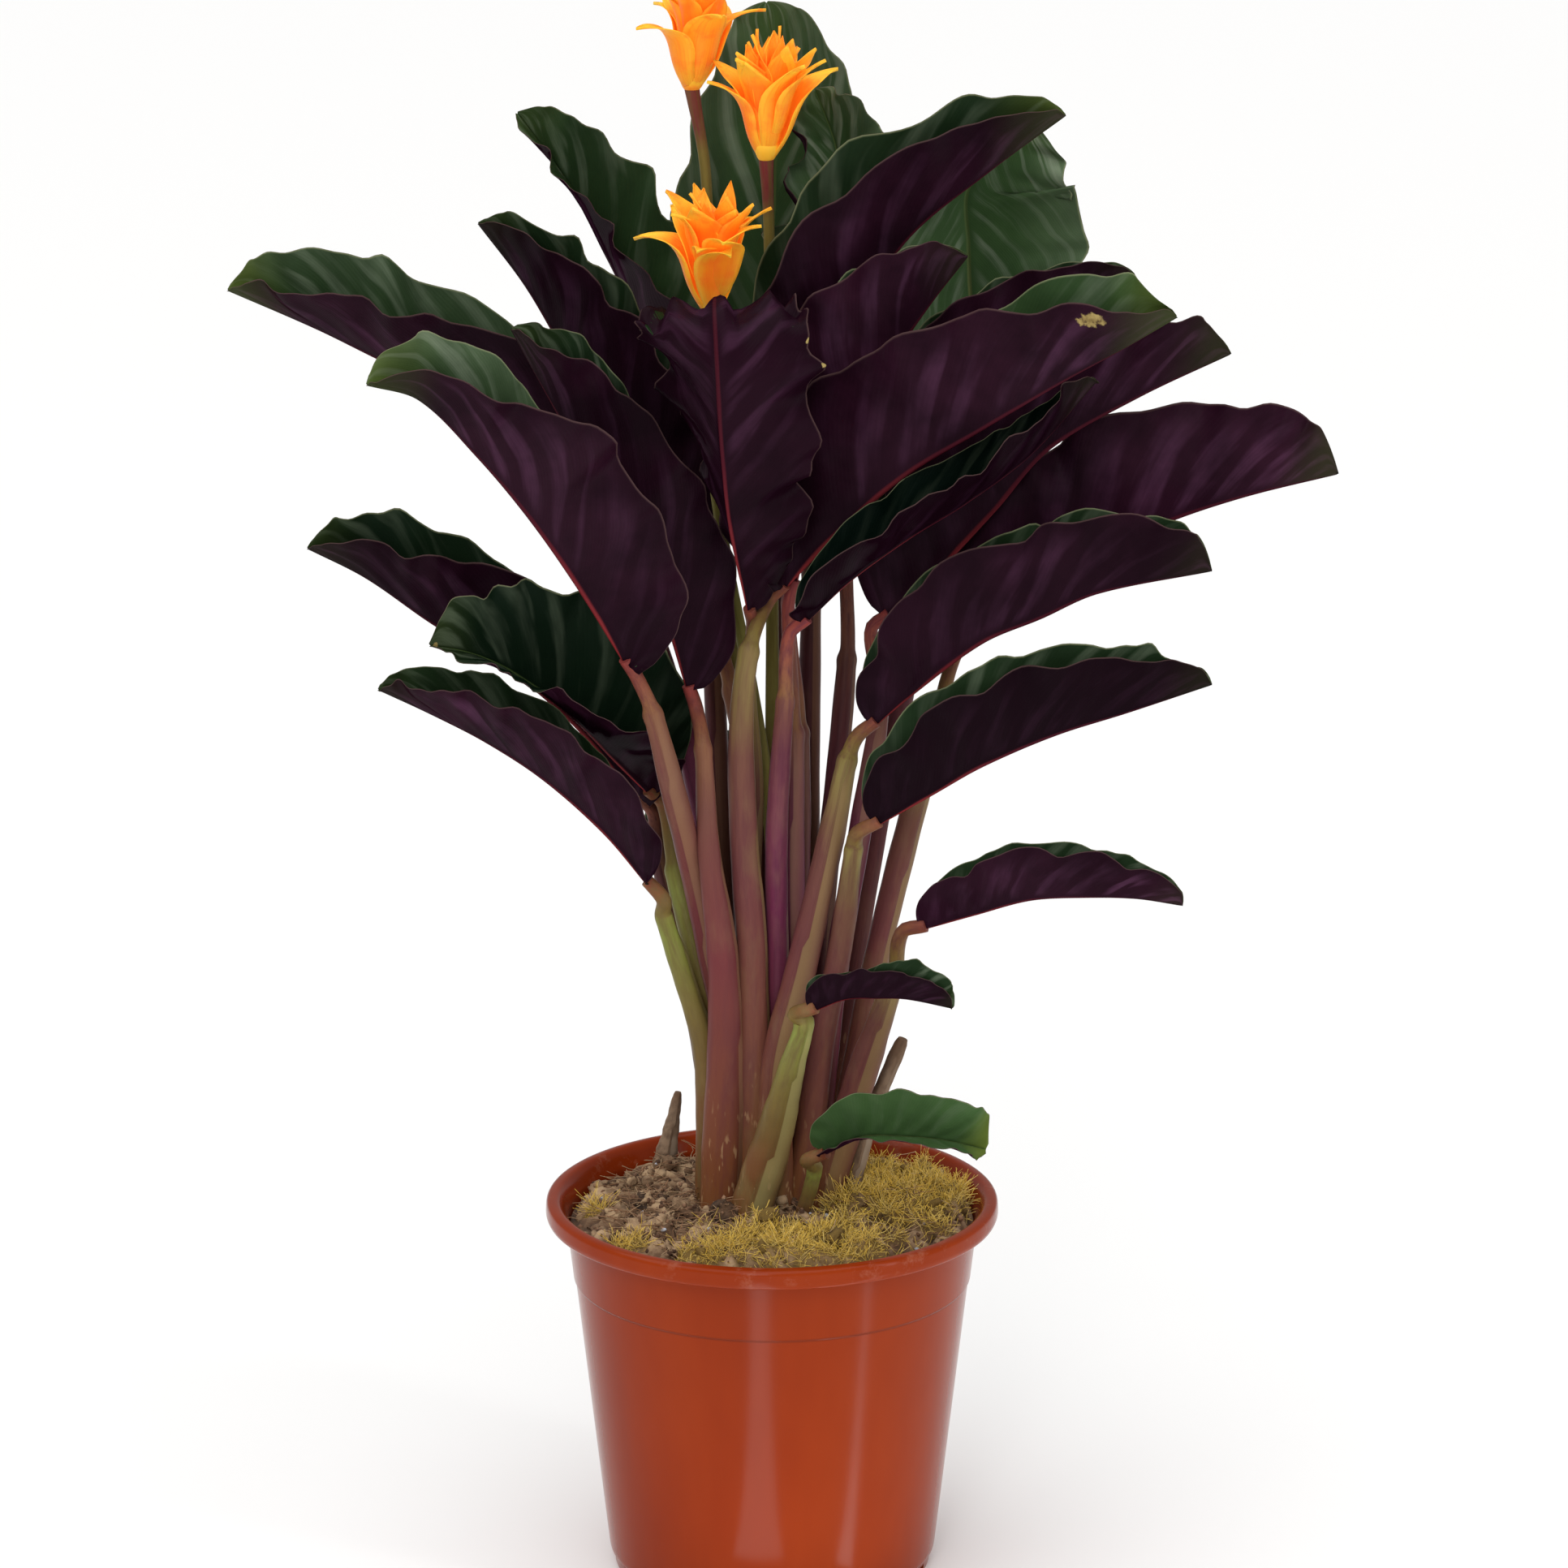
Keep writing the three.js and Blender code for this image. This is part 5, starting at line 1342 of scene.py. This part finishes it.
def make_bract_material():
    """Waxy orange: yellow at the foot, red orange along the middle, golden margins and tips, with a faint
    painted glow in its own colour.
    """
    material, tree, shader = new_material("orange_bract", {
        "Roughness": 0.5, "Subsurface Weight": 0.1, "Subsurface Radius": (0.004, 0.0015, 0.0006),
        "Specular IOR Level": 0.2, "Emission Strength": 0.16,
    })
    place = tree.nodes.new("ShaderNodeUVMap").outputs["UV"]
    split = add_node(tree, "ShaderNodeSeparateXYZ", {"Vector": place})
    along, across = split.outputs["X"], split.outputs["Y"]
    tone = attribute(tree, "tone")
    colour = colour_steps(tree, along, [
        (0.0, (0.62, 0.28, 0.03)), (0.12, (0.88, 0.29, 0.022)), (0.32, (0.93, 0.175, 0.008)),
        (0.58, (0.95, 0.22, 0.009)), (0.8, (0.96, 0.50, 0.03)), (1.0, (0.94, 0.64, 0.05)),
    ])
    out = maths(tree, "ABSOLUTE", maths(tree, "MULTIPLY_ADD", across, 2.0, -1.0))
    colour = blended(tree, ranged(tree, out, 0.45, 1.0, 0.0, 0.75), colour, (0.96, 0.53, 0.035))
    colour = blended(tree, times(tree, tone, 0.45), colour, (0.95, 0.47, 0.028))
    patches = ranged(tree, speckle(tree, cloud=130.0, grain=900.0)["Cloud"], 0.5, 0.68, 0.0, 0.6)
    colour = blended(tree, patches, colour, (0.93, 0.16, 0.012))
    stripes = vector(tree, times(tree, along, 2.5), times(tree, across, 26.0), tone)
    veins = add_node(tree, "ShaderNodeTexNoise", {"Vector": stripes, "Scale": 1.0, "Detail": 3.0})
    veins = veins.outputs["Fac"]
    colour = blended(tree, ranged(tree, veins, 0.5, 0.8, 0.0, 0.45), colour, (0.92, 0.12, 0.004))
    deeper = ranged(tree, attribute(tree, "inner"), 0.2, 1.0, 0.0, 0.5)
    colour = blended(tree, deeper, colour, (0.95, 0.15, 0.004))
    # a faint glow in the bracts' own colour is painted light, standing in for light that shines through the
    # thin waxy bracts, so that they are never dark
    feed(tree, shader, {"Base Color": colour, "Emission Color": colour})
    bumped(tree, shader, veins, 0.0004, 0.6)
    return material


whorl_tree = make_whorl_tree()
bract_material = make_bract_material()


def flower_head(flower, number):
    """All whorls of a head as one mesh, leaning with the head, with its small round cup on the stalk."""
    head = bmesh.new()
    for k, (count, foot, height, length, width, *tilts, fold, turn) in enumerate(WHORLS):
        foot_tilt, cup_tilt, tip_tilt = tilts
        bract = bract_mesh(foot, height, length, width, foot_tilt, cup_tilt, tip_tilt * flower["fold"], fold)
        store_values(bract, inner=k / (len(WHORLS) - 1))
        whorl = link_piece("whorl", bract, [])
        grow(whorl, whorl_tree, count=count, turn=math.radians(turn + flower["turn"]), seed=5 * number + k,
             material=bract_material)
        head.from_mesh(plain_mesh(whorl))
        bpy.data.objects.remove(whorl)
    head.from_mesh(turned_mesh("cup", [(r * mm, z * mm) for r, z in HEAD_CUP], 24))
    base = Vector(flower["stalk"][-1]) * mm + Vector((0, 0, 0.6 * mm))
    place = Matrix.Translation(base) @ Matrix.Diagonal((flower["spread"], flower["spread"], 1, 1))
    to_right, to_front = flower["lean"]
    place[0][2] = to_right
    place[1][2] = -to_front
    head.transform(place)
    mesh = bpy.data.meshes.new("bracts")
    head.to_mesh(mesh)
    head.free()
    mesh.materials.append(bract_material)
    mesh.polygons.foreach_set("material_index", np.zeros(len(mesh.polygons), int))
    mesh.shade_smooth()
    return mesh


for number, flower in enumerate(FLOWERS):
    head = link_piece("bracts_" + flower["name"], flower_head(flower, number), [])
    settle(head)
    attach(head, "root")
    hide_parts("flower_head_" + flower["name"])

# ---------------------------------------------------------------------------------------------------------
# Stubs
# Two old stalks in the peat: one cut off long ago and dried brown, one that has died back to a grey stump.
STUBS = [
    dict(name="cut_stub", route=[(28, 6, 136), (36, 5, 170), (49, 3, 205)], radii=(3.6, 3.4, 2.6)),
    dict(name="dead_stub", route=[(-42, 52, 136), (-38.5, 52, 154), (-36, 53, 168)], radii=(5, 3.2, 1.6)),
]
STUB_RINGS = 34
STUB_SIDES = 20
dry_stalk = make_stalk_material("dried_stalk", [
    (0.0, (0.20, 0.12, 0.07)), (0.3, (0.27, 0.18, 0.115)), (0.7, (0.25, 0.17, 0.11)),
    (1.0, (0.17, 0.10, 0.06)),
], streak=(0.10, 0.06, 0.04), edge=(0.40, 0.32, 0.24), roughness=0.75)
for number, stub in enumerate(STUBS):
    t = np.linspace(0, 1, STUB_RINGS)
    shrivelled = 1 + 0.05 * np.sin(23 * t + number) + 0.03 * np.sin(51 * t)
    radii = np.interp(t, (0, 0.5, 1), stub["radii"]) * shrivelled
    radii[-1] *= 0.75
    mesh = tube_mesh(stub["name"], smooth_route(stub["route"])[0], t, radii, lip=0.22,
                     lip_angle=-1.8 + 0.9 * t, sides=STUB_SIDES, share=2 * t)
    piece = link_piece("old_" + stub["name"], mesh, [dry_stalk])
    store_values(piece.data, shift=120 + 9 * number)
    settle(piece)
    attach(piece, "root")
    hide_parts(stub["name"])

# ---------------------------------------------------------------------------------------------------------
# Floor and light
# A plain white floor in a white studio: a wide silk overhead, a tall soft light beside the camera, a narrow
# one on the right and two strips on the floor, which the pot mirrors.
FLOOR_REACH = 12
floor_mesh = bpy.data.meshes.new("floor")
corners = [(x * FLOOR_REACH, y * FLOOR_REACH, 0) for x, y in ((-1, -1), (1, -1), (1, 1), (-1, 1))]
floor_mesh.from_pydata(corners, [], [(0, 1, 2, 3)])
white_floor = new_material("white_floor", {"Roughness": 0.7, "Base Color": (0.92, 0.92, 0.92, 1)})[0]
floor = link_piece("floor", floor_mesh, [white_floor])

world = bpy.data.worlds.new("studio")
world.use_nodes = True
world.node_tree.nodes["Background"].inputs["Color"].default_value = (1, 0.99, 0.97, 1)
world.node_tree.nodes["Background"].inputs["Strength"].default_value = 0.42
bpy.context.scene.world = world


def softbox(name, place, aim, width, height, power):
    """A soft rectangular light at a place, turned to aim; returns its lamp."""
    light = bpy.data.lights.new(name, "AREA")
    light.shape = "RECTANGLE"
    light.size = width
    light.size_y = height
    light.energy = power
    lamp = bpy.data.objects.new(name, light)
    lamp.location = place
    lamp.rotation_euler = (Vector(aim) - Vector(place)).to_track_quat("-Z", "Y").to_euler()
    lamp.visible_camera = False
    bpy.context.scene.collection.objects.link(lamp)
    return lamp


softbox("tall_softbox", place=(-0.36, -2.3, 1.3), aim=(0, 0, 0.3), width=0.5, height=1.6, power=11)
softbox("narrow_softbox", place=(1.45, -0.85, 0.7), aim=(0, 0, 0.2), width=0.1, height=1.4, power=5)


def floor_strip(name, x, y, turn, width, length, power):
    """A strip of light that lies on the floor and shines up, turned round from front to back."""
    strip = softbox(name, (x, y, 0.004), (x, y, 1), width, length, power)
    strip.rotation_euler = (math.pi, 0, math.radians(turn))


floor_strip("low_strip", x=-0.044, y=-0.34, turn=-6, width=0.036, length=0.52, power=0.2)
floor_strip("thin_low_strip", x=0.184, y=-0.147, turn=60, width=0.011, length=0.34, power=0.06)
overhead = bpy.data.lights.new("overhead_silk", "SUN")
overhead.energy = 2.3
overhead.angle = math.radians(85)
overhead_lamp = bpy.data.objects.new("overhead_silk", overhead)
overhead_lamp.rotation_euler = (math.radians(14), math.radians(-10), 0)
bpy.context.scene.collection.objects.link(overhead_lamp)
